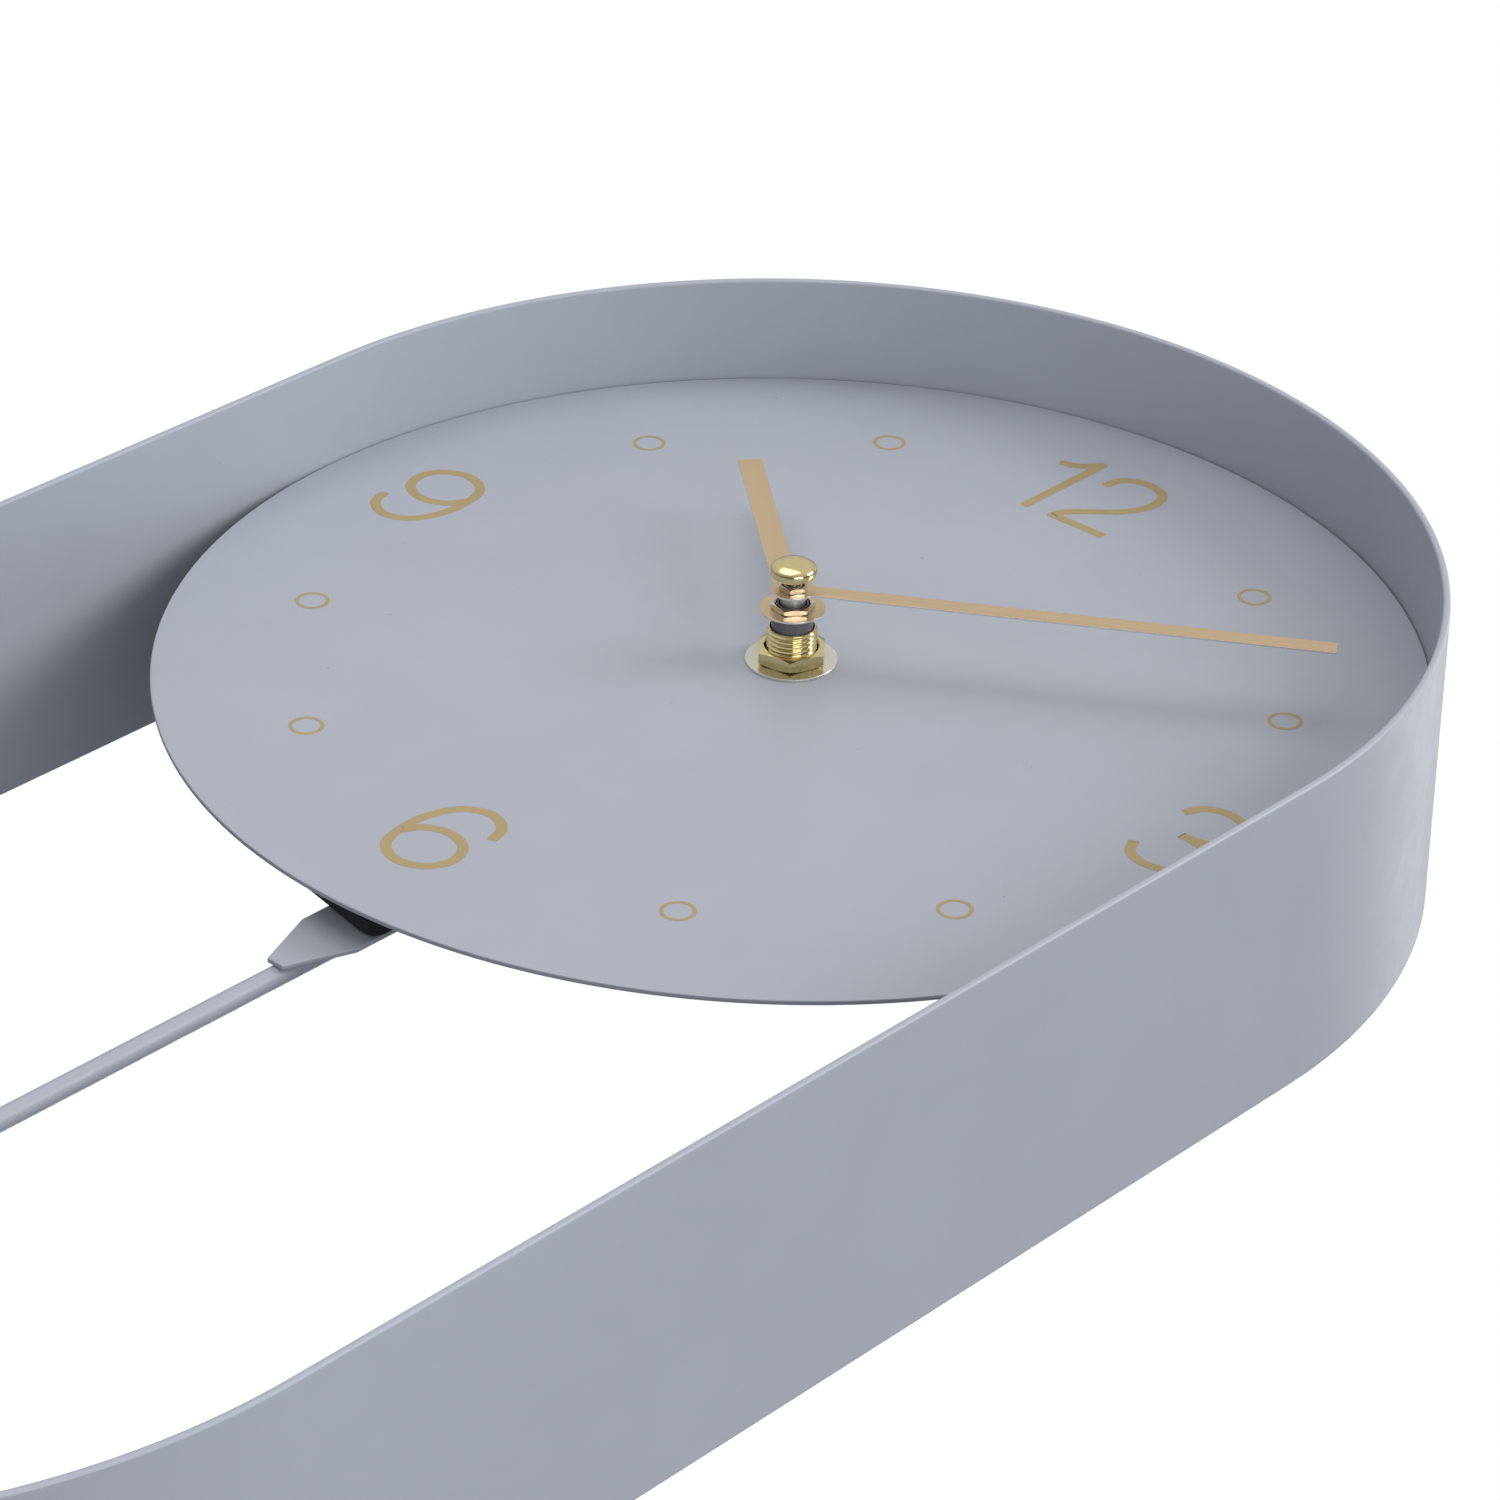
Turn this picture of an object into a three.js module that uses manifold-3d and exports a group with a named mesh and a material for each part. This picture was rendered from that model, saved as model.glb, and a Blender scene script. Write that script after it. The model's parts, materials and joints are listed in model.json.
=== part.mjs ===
// Pendulum wall clock: a round-ended steel band with a round dial welded into its upper end, a quartz
// movement with two hands behind the dial, and a separate pendulum drive below it.
// Units are millimetres. +Z is up, +X is to the right of a person who faces the dial, and the dial faces -Y.
// The origin is the wall screw, seated in the hanger's keyhole, at the wall plane.
//
// Every piece is drawn in the dial's frame: x to the right, y up, z out of the dial towards the viewer,
// with its origin at the centre of the dial's front face. One group carries that frame into place.

import * as THREE from 'three';
import { mergeVertices } from 'three/addons/utils/BufferGeometryUtils.js';
import Module from 'manifold-3d';

const wasm = await Module();
wasm.setup();

// ---------------------------------------------------------------- driving dimensions

const CLEARANCE = 0.3;          // between pieces that are fitted to each other
const RUNNING = 0.3;            // radial clearance of a shaft in its bearing

const band = { radius: 125, straight: 250, wall: 1.5, frontDepth: 22.5, backDepth: 41 };
const dial = { thickness: 1 };
const dialWeld = { width: 5, size: 2.2, angles: [20, 70, 110, 160] };
const hanger = {
  inset: 23.2, height: 44, halfWidth: 34, thickness: 1.2, lip: 8, slotWidth: 4.6, entryRadius: 4.75, drop: 10,
};
const hangerWeld = { width: 8, size: 2.2, offset: 22 };

const bushPipe = { wall: 0.5, noseWall: 0, front: 7.6, nose: 0 };
const bushFlange = { rim: 1.6, thickness: 0.6 };
const washer = { rim: 3.8, thickness: 0.6 };
const nut = { wall: 1.05, height: 2.9 };
const gasket = { rim: 2.8, thickness: 0.8 };

const movement = { top: 28, corner: 3, wall: 1.5, bayWall: 0.8 };
const battery = { radius: 7.25, length: 50.5, terminalRadius: 2.75, terminal: 1 };
const contact = { thickness: 0.4, halfWidth: 4.5 };

const arbor = { radius: 0.6, pivotRadius: 0.45, hub: 1.3 };
const secondsArbor = { radius: 1.2, thinRadius: 0.7, front: 16.6, nose: 2, noseRadius: 0.7 };
const minutePipe = { wall: 1, noseWall: 0.3, front: 15.2, nose: 1.4, hubWall: 0.5 };
const hourPipe = { wall: 1.3, noseWall: 0.3, front: 11.2, nose: 1.4 };

const hourHand = { hubRadius: 6.35, width: 4.9, length: 62.8, thickness: 0.4, angle: 309.9 };
const minuteHand = { hubRadius: 4.3, width: 4, length: 104.6, thickness: 0.4, angle: 58.5 };
const collet = { wall: 0.4, height: 1.2 };
const cap = { radius: 4.55, stemWall: 0.3, stem: 1.6, edge: 1.4, dome: 1.6 };

// Teeth of each gear. The time train runs from the rotor to the centre wheel, and the motion work from there
// to the hour wheel.
const teeth = {
  rotorPinion: 8, intermediateWheel: 48, intermediatePinion: 8, secondsWheel: 40,
  secondsPinion: 8, thirdWheel: 60, thirdPinion: 8, centreWheel: 64,
  cannonPinion: 12, minuteWheel: 36, minutePinion: 10, hourWheel: 40, knobPinion: 14,
};
const tooth = { pressureAngle: Math.PI / 6, addendum: 0.8, dedendum: 1.15, thickness: 0.86 };
const wheelThickness = 0.8;
const pinionOverhang = 0.2;     // a pinion stands out of its wheel's plane by this on each side
const layerGap = {
  minute: 0.6, centre: 1, third: 1.2, seconds: 1.2, intermediate: 1, bridge: 0.9, cover: 0.6,
};
const direction = { third: 150, intermediate: 90, rotor: 20, minute: 20, knob: -10 };

const bridge = { thickness: 0.8, left: -18, right: 22, top: 17, postRadius: 1.5, postInset: 1.9 };
const boss = { radius: 1.6, height: 1.3 };
const knob = { radius: 4.5, height: 3, shaftRadius: 1.5, gap: 0.5, ridges: 16, ridge: 0.35 };

const stator = { thickness: 0.8, gap: 0.2, left: -20, right: 18, rotorGap: 0.5, rail: 1.6, margin: 0.8 };
const rotorMagnet = { radius: 3, halfLength: 1.7 };
const coil = {
  y: 21.8, halfLength: 12.5, halfHeight: 3, halfWidth: 3.3, flange: 0.8, tube: 0.5, coreHalfWidth: 1.8,
};
const board = { margin: 0.75, width: 6, bottom: -9, top: 14, depth: 4.7, thickness: 1 };
const crystal = { radius: 1, length: 6, y: 2, gap: 0.1 };
const chip = { size: 3, height: 0.8, y: -5 };

// The pendulum drive hangs above the dial's lower edge by `aboveEdge`.
const drive = {
  aboveEdge: 33.5, height: 54, corner: 3, wall: 1.5, shelf: 1, depth: 14.7, cover: 1.5, padInset: 6,
};
const lever = {
  neck: 6, hubWall: 1, hubGap: 3.4, frontGap: 0.7, thickness: 3, pinRadius: 1.3, left: -14, right: 8,
  shoulderDrop: 2, leftAboveEdge: 7.2, rightAboveEdge: 2.7, rounding: 4, swing: 8,
};
const leverMagnet = { rise: 11, radius: 4, height: 2.4 };
const driveCoil = { radius: 9, core: 3, height: 4, gap: 1.2 };
const driveBoard = { left: 12, width: 13.5, rise: 4, height: 26, thickness: 1 };
const hook = { aboveEdge: 14.2, radius: 1.25, headRadius: 2.5, head: 0.8, play: 0.5 };
const plate = {
  halfWidth: 7.25, above: 2.5, shoulderDrop: 0.2, tipHalfWidth: 2, tipDrop: 13.8, thickness: 1, gap: 0.6,
};
const rod = { radius: 2, aboveEdge: 5.2, gap: 0.1 };
const bob = { belowStraight: 35, radius: 45, thickness: 2 };
const clip = { halfWidth: 6, halfHeight: 4, wall: 1.2, rodEnd: 3 };

// ---------------------------------------------------------------- sizes that follow from them

// A pipe that turns on the shaft inside it.
function pipeOver(innerRadius, pipe) {
  const bore = innerRadius + RUNNING;
  return { ...pipe, bore, radius: bore + pipe.wall, noseRadius: bore + pipe.noseWall };
}

const minuteArbor = pipeOver(secondsArbor.radius, minutePipe);
const hourTube = pipeOver(minuteArbor.radius, hourPipe);
const bush = pipeOver(hourTube.radius, bushPipe);
const bushHole = bush.radius + CLEARANCE;

const dialRadius = band.radius - band.wall - CLEARANCE;
const hookHeight = dialRadius - hanger.inset;
const dialBack = -dial.thickness;
const caseFront = dialBack - gasket.thickness;
const caseInside = caseFront - movement.wall;

// Backs of the gear layers, counted in z from the dial's front face.
const layer = {};
layer.hour = caseInside - bushFlange.thickness - CLEARANCE - wheelThickness;
layer.minute = layer.hour - layerGap.minute - wheelThickness;
layer.centre = layer.minute - layerGap.centre - wheelThickness;
layer.third = layer.centre - layerGap.third - wheelThickness;
layer.seconds = layer.third - layerGap.seconds - wheelThickness;
layer.intermediate = layer.seconds - layerGap.intermediate - wheelThickness;
const bridgeBack = layer.intermediate - layerGap.bridge - bridge.thickness;
const coverFront = bridgeBack - layerGap.cover;
const coverBack = coverFront - movement.wall;

// Modules: two pairs that share a centre distance share it through their modules.
const moduleOf = { rotor: 0.32, intermediate: 0.4375, seconds: 0.3, cannon: 0.375 };
moduleOf.third = moduleOf.seconds
  * (teeth.secondsPinion + teeth.thirdWheel) / (teeth.thirdPinion + teeth.centreWheel);
moduleOf.hour = moduleOf.cannon
  * (teeth.cannonPinion + teeth.minuteWheel) / (teeth.minutePinion + teeth.hourWheel);

// Arbor places: each lies one centre distance from the arbor that it meshes with.
const polar = (from, distance, degrees) => new THREE.Vector2(
  from.x + distance * Math.cos(THREE.MathUtils.degToRad(degrees)),
  from.y + distance * Math.sin(THREE.MathUtils.degToRad(degrees)),
);
const besides = (from, a, b, module, degrees) => polar(from, module * (a + b) / 2, degrees);
const centre = new THREE.Vector2(0, 0);
const thirdAt = besides(centre, teeth.secondsPinion, teeth.thirdWheel, moduleOf.seconds, direction.third);
const intermediateAt = besides(
  centre, teeth.intermediatePinion, teeth.secondsWheel, moduleOf.intermediate, direction.intermediate,
);
const rotorAt = besides(
  intermediateAt, teeth.rotorPinion, teeth.intermediateWheel, moduleOf.rotor, direction.rotor,
);
const minuteAt = besides(centre, teeth.cannonPinion, teeth.minuteWheel, moduleOf.cannon, direction.minute);
const knobAt = besides(minuteAt, teeth.knobPinion, teeth.minuteWheel, moduleOf.cannon, direction.knob);

// The cell lies below the widest wheel of the train, and the case closes round it.
const widestWheel = moduleOf.third * (teeth.centreWheel / 2 + tooth.addendum);
const bayCeiling = -widestWheel - CLEARANCE - movement.bayWall;
const bridgeBottom = bayCeiling + movement.bayWall + CLEARANCE / 2;
const bayHalf = battery.radius + CLEARANCE;
const bayY = bayCeiling - bayHalf;
const movementBottom = bayY - bayHalf - movement.wall;
const caseHalfWidth = battery.length / 2 + 2 * CLEARANCE + contact.thickness + movement.wall;
const batteryZ = caseInside - bayHalf;

const statorFront = layer.third - stator.gap;
const statorBack = statorFront - stator.thickness;
const boardLeft = -caseHalfWidth + movement.wall + board.margin;
const boardBack = caseInside - board.depth;

// The pendulum drive and all that hangs from it follow the dial's lower edge.
const edge = -dialRadius;
const driveFront = caseFront;
const driveInside = driveFront - drive.wall;
const driveCoverFront = driveFront - drive.depth;
const driveCoverBack = driveCoverFront - drive.cover;
const driveBottom = edge + drive.aboveEdge;
const driveTop = driveBottom + drive.height;
const driveBatteryY = driveTop - drive.wall - bayHalf;
const shelfTop = driveBatteryY - bayHalf;
const leverHub = lever.neck + lever.hubWall;
const leverPivot = shelfTop - drive.shelf - lever.hubGap - leverHub;
const leverFront = driveInside - lever.frontGap;
const leverBack = leverFront - lever.thickness;
const magnetY = driveBottom + leverMagnet.rise;
const hookY = edge + hook.aboveEdge;
const bobY = -band.straight - bob.belowStraight;

// ---------------------------------------------------------------- solids

// Merged, outward-facing copy of a geometry, with only its positions and triangles.
function solid(geometry) {
  const bare = geometry.index ? geometry.toNonIndexed() : geometry.clone();
  bare.deleteAttribute('normal');
  bare.deleteAttribute('uv');
  const merged = mergeVertices(bare);
  const corners = merged.index.array;
  const kept = [];
  let volume = 0;
  const [a, b, c] = [new THREE.Vector3(), new THREE.Vector3(), new THREE.Vector3()];
  for (let i = 0; i < corners.length; i += 3) {
    const [p, q, r] = [corners[i], corners[i + 1], corners[i + 2]];
    if (p === q || q === r || r === p) continue;
    kept.push(p, q, r);
    a.fromBufferAttribute(merged.attributes.position, p);
    b.fromBufferAttribute(merged.attributes.position, q);
    c.fromBufferAttribute(merged.attributes.position, r);
    volume += a.dot(b.cross(c));
  }
  if (volume < 0) kept.reverse();
  merged.setIndex(kept);
  return merged;
}

function toManifold(geometry) {
  const body = solid(geometry);
  return new wasm.Manifold(new wasm.Mesh({
    numProp: 3,
    vertProperties: new Float32Array(body.attributes.position.array),
    triVerts: new Uint32Array(body.index.array),
  }));
}

function fromManifold(manifold) {
  const mesh = manifold.getMesh();
  const geometry = new THREE.BufferGeometry();
  geometry.setAttribute('position', new THREE.BufferAttribute(mesh.vertProperties, 3));
  geometry.setIndex(new THREE.BufferAttribute(mesh.triVerts, 1));
  return geometry;
}

function join(first, ...others) {
  return fromManifold(others.reduce((whole, next) => whole.add(toManifold(next)), toManifold(first)));
}

function cut(first, ...tools) {
  return fromManifold(tools.reduce((whole, next) => whole.subtract(toManifold(next)), toManifold(first)));
}

// A flat outline given thickness from z = back to z = front, with `segments` steps in each of its arcs.
function slab(shape, back, front, segments = 24) {
  const geometry = new THREE.ExtrudeGeometry(shape, {
    depth: front - back, bevelEnabled: false, curveSegments: Math.ceil(segments / 2),
  });
  return solid(geometry.translate(0, 0, back));
}

// A profile of [radius, z] pairs turned about the z axis. It runs from axis to axis, or closes on itself.
function turned(profile, segments = 24) {
  const points = profile.map(([radius, z]) => new THREE.Vector2(radius, z));
  return solid(new THREE.LatheGeometry(points, segments).rotateX(Math.PI / 2));
}

function cylinder(radius, back, front, segments = 24) {
  return turned([[0, back], [radius, back], [radius, front], [0, front]], segments);
}

function block(left, right, bottom, top, back, front) {
  const geometry = new THREE.BoxGeometry(right - left, top - bottom, front - back);
  return solid(geometry.translate((left + right) / 2, (bottom + top) / 2, (back + front) / 2));
}

// ---------------------------------------------------------------- outlines

function circle(radius, at = centre) {
  return new THREE.Shape().absarc(at.x, at.y, radius, 0, 2 * Math.PI);
}

function withHoles(shape, ...holes) {
  shape.holes.push(...holes);
  return shape;
}

function ring(radius, bore) {
  return withHoles(circle(radius), circle(bore));
}

function stadium(radius) {
  const shape = new THREE.Shape();
  shape.absarc(0, 0, radius, 0, Math.PI);
  shape.absarc(0, -band.straight, radius, Math.PI, 2 * Math.PI);
  return shape.closePath();
}

function roundedBox(left, right, bottom, top, radius) {
  const shape = new THREE.Shape();
  shape.absarc(right - radius, top - radius, radius, 0, Math.PI / 2);
  shape.absarc(left + radius, top - radius, radius, Math.PI / 2, Math.PI);
  shape.absarc(left + radius, bottom + radius, radius, Math.PI, 1.5 * Math.PI);
  shape.absarc(right - radius, bottom + radius, radius, 1.5 * Math.PI, 2 * Math.PI);
  return shape.closePath();
}

function hexagon(acrossFlats) {
  const corner = acrossFlats / Math.sqrt(3);
  const points = [];
  for (let i = 0; i < 6; i += 1) {
    points.push(polar(centre, corner, 60 * i));
  }
  return new THREE.Shape(points);
}

// Involute gear outline, with one tooth centred on the direction `turn`, in radians.
function gearShape(teeth, module, turn, flankPoints) {
  const pitch = module * teeth / 2;
  const base = pitch * Math.cos(tooth.pressureAngle);
  const tip = pitch + tooth.addendum * module;
  const root = pitch - tooth.dedendum * module;
  const involute = (angle) => Math.tan(angle) - angle;
  const halfAngle = (radius) => {
    const pressure = radius > base ? Math.acos(base / radius) : 0;
    return tooth.thickness * Math.PI / (2 * teeth) + involute(tooth.pressureAngle) - involute(pressure);
  };
  const flank = [];
  for (let i = 0; i < flankPoints; i += 1) {
    const radius = root + (tip - root) * i / (flankPoints - 1);
    flank.push([radius, halfAngle(radius)]);
  }
  const points = [];
  const add = (radius, angle) => points.push(polar(centre, radius, THREE.MathUtils.radToDeg(angle)));
  for (let i = 0; i < teeth; i += 1) {
    const middle = turn + 2 * Math.PI * i / teeth;
    flank.forEach(([radius, half]) => add(radius, middle - half));
    flank.toReversed().forEach(([radius, half]) => add(radius, middle + half));
  }
  return new THREE.Shape(points);
}

// The turn that puts gear B in mesh with gear A, where B lies in the direction `degrees` from A.
function meshTurn(turnA, teethA, teethB, degrees) {
  const theta = THREE.MathUtils.degToRad(degrees);
  return theta + Math.PI + Math.PI / teethB + (theta - turnA) * teethA / teethB;
}

function wheel(teeth, module, turn, back) {
  return slab(gearShape(teeth, module, turn, 2), back, back + wheelThickness);
}

function pinion(teeth, module, turn, back, thickness = wheelThickness) {
  return slab(gearShape(teeth, module, turn, 3), back - pinionOverhang, back + thickness + pinionOverhang);
}

// ---------------------------------------------------------------- the assembly

const clock = new THREE.Group();
clock.name = 'pendulum_wall_clock';
const dialFrame = new THREE.Group();
dialFrame.position.set(0, -band.backDepth, -hookHeight);
dialFrame.rotation.x = Math.PI / 2;
clock.add(dialFrame);

const finish = {
  enamel: { color: 0xb0b7c2, roughness: 0.5, metalness: 0.1 },
  steel: { color: 0xc9c9c6, roughness: 0.35, metalness: 0.9 },
  brass: { color: 0xd8b45a, roughness: 0.3, metalness: 0.95 },
  gold: { color: 0xdcbc91, roughness: 0.4, metalness: 0.8 },
  copper: { color: 0xb5652f, roughness: 0.45, metalness: 0.8 },
  black: { color: 0x1c1c1e, roughness: 0.6, metalness: 0 },
  darkGrey: { color: 0x3b3c3f, roughness: 0.55, metalness: 0 },
  white: { color: 0xe8e6df, roughness: 0.5, metalness: 0 },
  rubber: { color: 0x26262a, roughness: 0.85, metalness: 0 },
  board: { color: 0x2f6b3c, roughness: 0.6, metalness: 0 },
  magnet: { color: 0x55565a, roughness: 0.4, metalness: 0.7 },
  cell: { color: 0x6c7178, roughness: 0.4, metalness: 0.4 },
};

function place(name, geometry, look, at = centre) {
  const mesh = new THREE.Mesh(geometry, new THREE.MeshStandardMaterial(look));
  mesh.name = name;
  mesh.position.set(at.x, at.y, 0);
  dialFrame.add(mesh);
}

// ---------------------------------------------------------------- case: band, dial and hanger

function weldBead(radius, angle, width, size, front) {
  const half = width / radius / 2;
  const middle = THREE.MathUtils.degToRad(angle);
  const shape = new THREE.Shape();
  shape.absarc(0, 0, radius, middle - half, middle + half);
  shape.absarc(0, 0, radius - size, middle + half, middle - half, true);
  return slab(shape.closePath(), front - size, front, 3);
}

function hangerPlate() {
  const arcStart = Math.acos(hanger.halfWidth / dialRadius);
  const back = -band.backDepth;
  const bottom = hookHeight - hanger.height / 2;
  const outline = new THREE.Shape();
  outline.absarc(0, 0, dialRadius, arcStart, Math.PI - arcStart);
  outline.lineTo(-hanger.halfWidth, bottom);
  outline.lineTo(hanger.halfWidth, bottom);
  const half = hanger.slotWidth / 2;
  const entryY = hookHeight - hanger.drop;
  const neck = Math.asin(half / hanger.entryRadius);
  const keyhole = new THREE.Shape();
  keyhole.absarc(0, hookHeight, half, 0, Math.PI);
  keyhole.absarc(0, entryY, hanger.entryRadius, Math.PI / 2 + neck, 2.5 * Math.PI - neck);
  const sheet = slab(withHoles(outline.closePath(), keyhole.closePath()), back, back + hanger.thickness, 16);
  const lip = block(
    -hanger.halfWidth, hanger.halfWidth, bottom, bottom + hanger.thickness, back, back + hanger.lip,
  );
  return join(sheet, lip);
}

function buildCase() {
  const bandSegments = 40;
  const wall = withHoles(stadium(band.radius), stadium(band.radius - band.wall));
  place('case_band', slab(wall, -band.backDepth, band.frontDepth, bandSegments), finish.enamel);
  place('dial', slab(ring(dialRadius, bushHole), dialBack, 0, 2 * bandSegments), finish.enamel);
  dialWeld.angles.forEach((angle, i) => {
    const bead = weldBead(dialRadius, angle, dialWeld.width, dialWeld.size, dialBack);
    place(`dial_weld_${i + 1}`, bead, finish.enamel);
  });
  place('hanger_plate', hangerPlate(), finish.steel);
  [-1, 1].forEach((side, i) => {
    const angle = 90 - side * THREE.MathUtils.radToDeg(Math.asin(hangerWeld.offset / dialRadius));
    const front = -band.backDepth + hanger.thickness + hangerWeld.size;
    const bead = weldBead(dialRadius, angle, hangerWeld.width, hangerWeld.size, front);
    place(`hanger_weld_${i + 1}`, bead, finish.steel);
  });
}

// ---------------------------------------------------------------- movement: fixings and housing

function buildFixings() {
  const flangeBack = caseInside - bushFlange.thickness;
  const flangeRadius = bush.radius + bushFlange.rim;
  place('threaded_bush', turned([
    [bush.bore, flangeBack], [flangeRadius, flangeBack], [flangeRadius, caseInside],
    [bush.radius, caseInside], [bush.radius, bush.front], [bush.bore, bush.front], [bush.bore, flangeBack],
  ], 36), finish.brass);
  place('rubber_gasket', slab(ring(bushHole + gasket.rim, bushHole), caseFront, dialBack, 32), finish.rubber);
  place('fixing_washer', slab(ring(bushHole + washer.rim, bushHole), 0, washer.thickness, 36), finish.brass);
  const nutShape = withHoles(hexagon(2 * (bushHole + nut.wall)), circle(bushHole));
  place('fixing_nut', slab(nutShape, washer.thickness, washer.thickness + nut.height, 36), finish.brass);
}

// A tray that opens to the back, with its floor at the front.
function tray(left, right, bottom, top, corner, wall, front, back) {
  const outer = slab(roundedBox(left, right, bottom, top, corner), back, front, 4);
  const inner = roundedBox(left + wall, right - wall, bottom + wall, top - wall, corner - wall);
  return cut(outer, slab(inner, back - 1, front - wall, 4));
}

function bossAt(at, height = boss.height) {
  const wall = CLEARANCE + arbor.pivotRadius;
  const tube = slab(ring(boss.radius, wall), caseInside - height, caseInside + movement.wall / 2, 12);
  return tube.translate(at.x, at.y, 0);
}

function bayOpening(y) {
  const half = battery.length / 2 + CLEARANCE;
  return roundedBox(-half, half, y - bayHalf, y + bayHalf, 1);
}

function buildMovementCase() {
  const half = caseHalfWidth;
  const inWall = movement.wall / 2;
  const shell = tray(
    -half, half, movementBottom, movement.top, movement.corner, movement.wall, caseFront, coverFront,
  );
  const bore = cylinder(bushHole, caseInside - 1, caseFront + 1, 36);
  const bayWall = block(
    inWall - half, half - inWall, bayCeiling, bayCeiling + movement.bayWall, coverFront, caseFront - inWall,
  );
  const stud = cylinder(arbor.radius, layer.minute - CLEARANCE, caseInside + inWall, 12);
  stud.translate(minuteAt.x, minuteAt.y, 0);
  const bosses = [thirdAt, intermediateAt, rotorAt, knobAt].map((at) => bossAt(at));
  place('movement_front_case', cut(join(shell, bayWall, stud, ...bosses), bore), finish.black);

  const knobHole = circle(knob.shaftRadius + RUNNING, knobAt);
  const outline = roundedBox(-half, half, movementBottom, movement.top, movement.corner);
  const cover = withHoles(outline, bayOpening(bayY), knobHole);
  place('movement_rear_cover', slab(cover, coverBack, coverFront, 12), finish.black);
}

// A cell on its side, and the two spring contacts that stand between the case's front and its cover.
function buildBattery(prefix, y, cover) {
  const half = battery.length / 2;
  const shoulder = half - battery.terminal;
  const can = turned([
    [0, -half], [battery.radius, -half], [battery.radius, shoulder],
    [battery.terminalRadius, shoulder], [battery.terminalRadius, half], [0, half],
  ], 28).rotateY(Math.PI / 2).translate(0, y, batteryZ);
  place(`${prefix}battery`, can, finish.cell);
  const inner = half + CLEARANCE;
  [['positive', 1], ['negative', -1]].forEach(([name, side]) => {
    const [left, right] = [side * inner, side * (inner + contact.thickness)].sort((a, b) => a - b);
    const strip = block(
      left, right, y - contact.halfWidth, y + contact.halfWidth,
      cover + CLEARANCE, caseInside - CLEARANCE,
    );
    place(`${prefix}contact_${name}`, strip, finish.steel);
  });
}

// ---------------------------------------------------------------- movement: motor and electronics

function buildMotor() {
  const coreBottom = coil.y - coil.coreHalfWidth;
  const coreTop = coil.y + coil.coreHalfWidth;
  const hole = rotorMagnet.radius + stator.rotorGap;
  const rotorSide = rotorAt.x - hole - stator.margin;
  const rotorFloor = rotorAt.y - hole - stator.margin;
  const railTop = rotorAt.y + hole + stator.margin;
  const railBottom = railTop - stator.rail;
  const legInner = coil.halfLength + CLEARANCE;
  const outline = new THREE.Shape([
    [stator.left, railBottom], [rotorSide, railBottom], [rotorSide, rotorFloor], [stator.right, rotorFloor],
    [stator.right, coreTop], [legInner, coreTop], [legInner, railTop], [-legInner, railTop],
    [-legInner, coreTop], [stator.left, coreTop],
  ].map(([x, y]) => new THREE.Vector2(x, y)));
  withHoles(outline, circle(hole, rotorAt));
  place('stator', slab(outline, statorBack, statorFront, 28), finish.steel);

  const coreFront = statorFront + stator.thickness;
  const coreZ = (statorFront + coreFront) / 2;
  const core = block(stator.left, stator.right, coreBottom, coreTop, statorFront, coreFront);
  place('coil_core', core, finish.steel);

  const tubeWidth = coil.coreHalfWidth + CLEARANCE;
  const tubeHeight = stator.thickness / 2 + CLEARANCE;
  const spool = (inset, extra) => block(
    -coil.halfLength + inset, coil.halfLength - inset, coil.y - tubeWidth - extra, coil.y + tubeWidth + extra,
    coreZ - tubeHeight - extra, coreZ + tubeHeight + extra,
  );
  const flangeAt = (x) => block(
    x, x + coil.flange, coil.y - coil.halfWidth, coil.y + coil.halfWidth,
    coreZ - coil.halfHeight, coreZ + coil.halfHeight,
  );
  const flanges = [-coil.halfLength, coil.halfLength - coil.flange].map(flangeAt);
  const bobbin = join(spool(0, coil.tube), ...flanges);
  place('coil_bobbin', cut(bobbin, spool(-1, 0)), finish.white);
  const windingHalf = coil.halfLength - coil.flange - CLEARANCE;
  const winding = block(
    -windingHalf, windingHalf, coil.y - coil.halfWidth + CLEARANCE, coil.y + coil.halfWidth - CLEARANCE,
    coreZ - coil.halfHeight + CLEARANCE, coreZ + coil.halfHeight - CLEARANCE,
  );
  place('coil_winding', cut(winding, spool(-1, coil.tube + CLEARANCE)), finish.copper);
}

function buildElectronics() {
  const front = boardBack + board.thickness;
  const middle = boardLeft + board.width / 2;
  const right = boardLeft + board.width;
  place('circuit_board', block(boardLeft, right, board.bottom, board.top, boardBack, front), finish.board);
  const can = cylinder(crystal.radius, 0, crystal.length, 12).rotateX(-Math.PI / 2);
  can.translate(middle, crystal.y, front + crystal.radius + crystal.gap);
  place('quartz_crystal', can, finish.steel);
  const half = chip.size / 2;
  const body = block(middle - half, middle + half, chip.y, chip.y + chip.size, front, front + chip.height);
  place('control_chip', body, finish.black);
}

// ---------------------------------------------------------------- movement: gear train

// An arbor that runs from the front case's boss to the rear bridge, with thin pivots at both ends.
function arborShaft(radius = arbor.radius) {
  const frontShoulder = caseInside - boss.height - CLEARANCE;
  const backShoulder = bridgeBack + bridge.thickness + CLEARANCE;
  return turned([
    [0, bridgeBack], [arbor.pivotRadius, bridgeBack], [arbor.pivotRadius, backShoulder],
    [radius, backShoulder], [radius, frontShoulder], [arbor.pivotRadius, frontShoulder],
    [arbor.pivotRadius, caseInside - CLEARANCE], [0, caseInside - CLEARANCE],
  ], 12);
}

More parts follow.
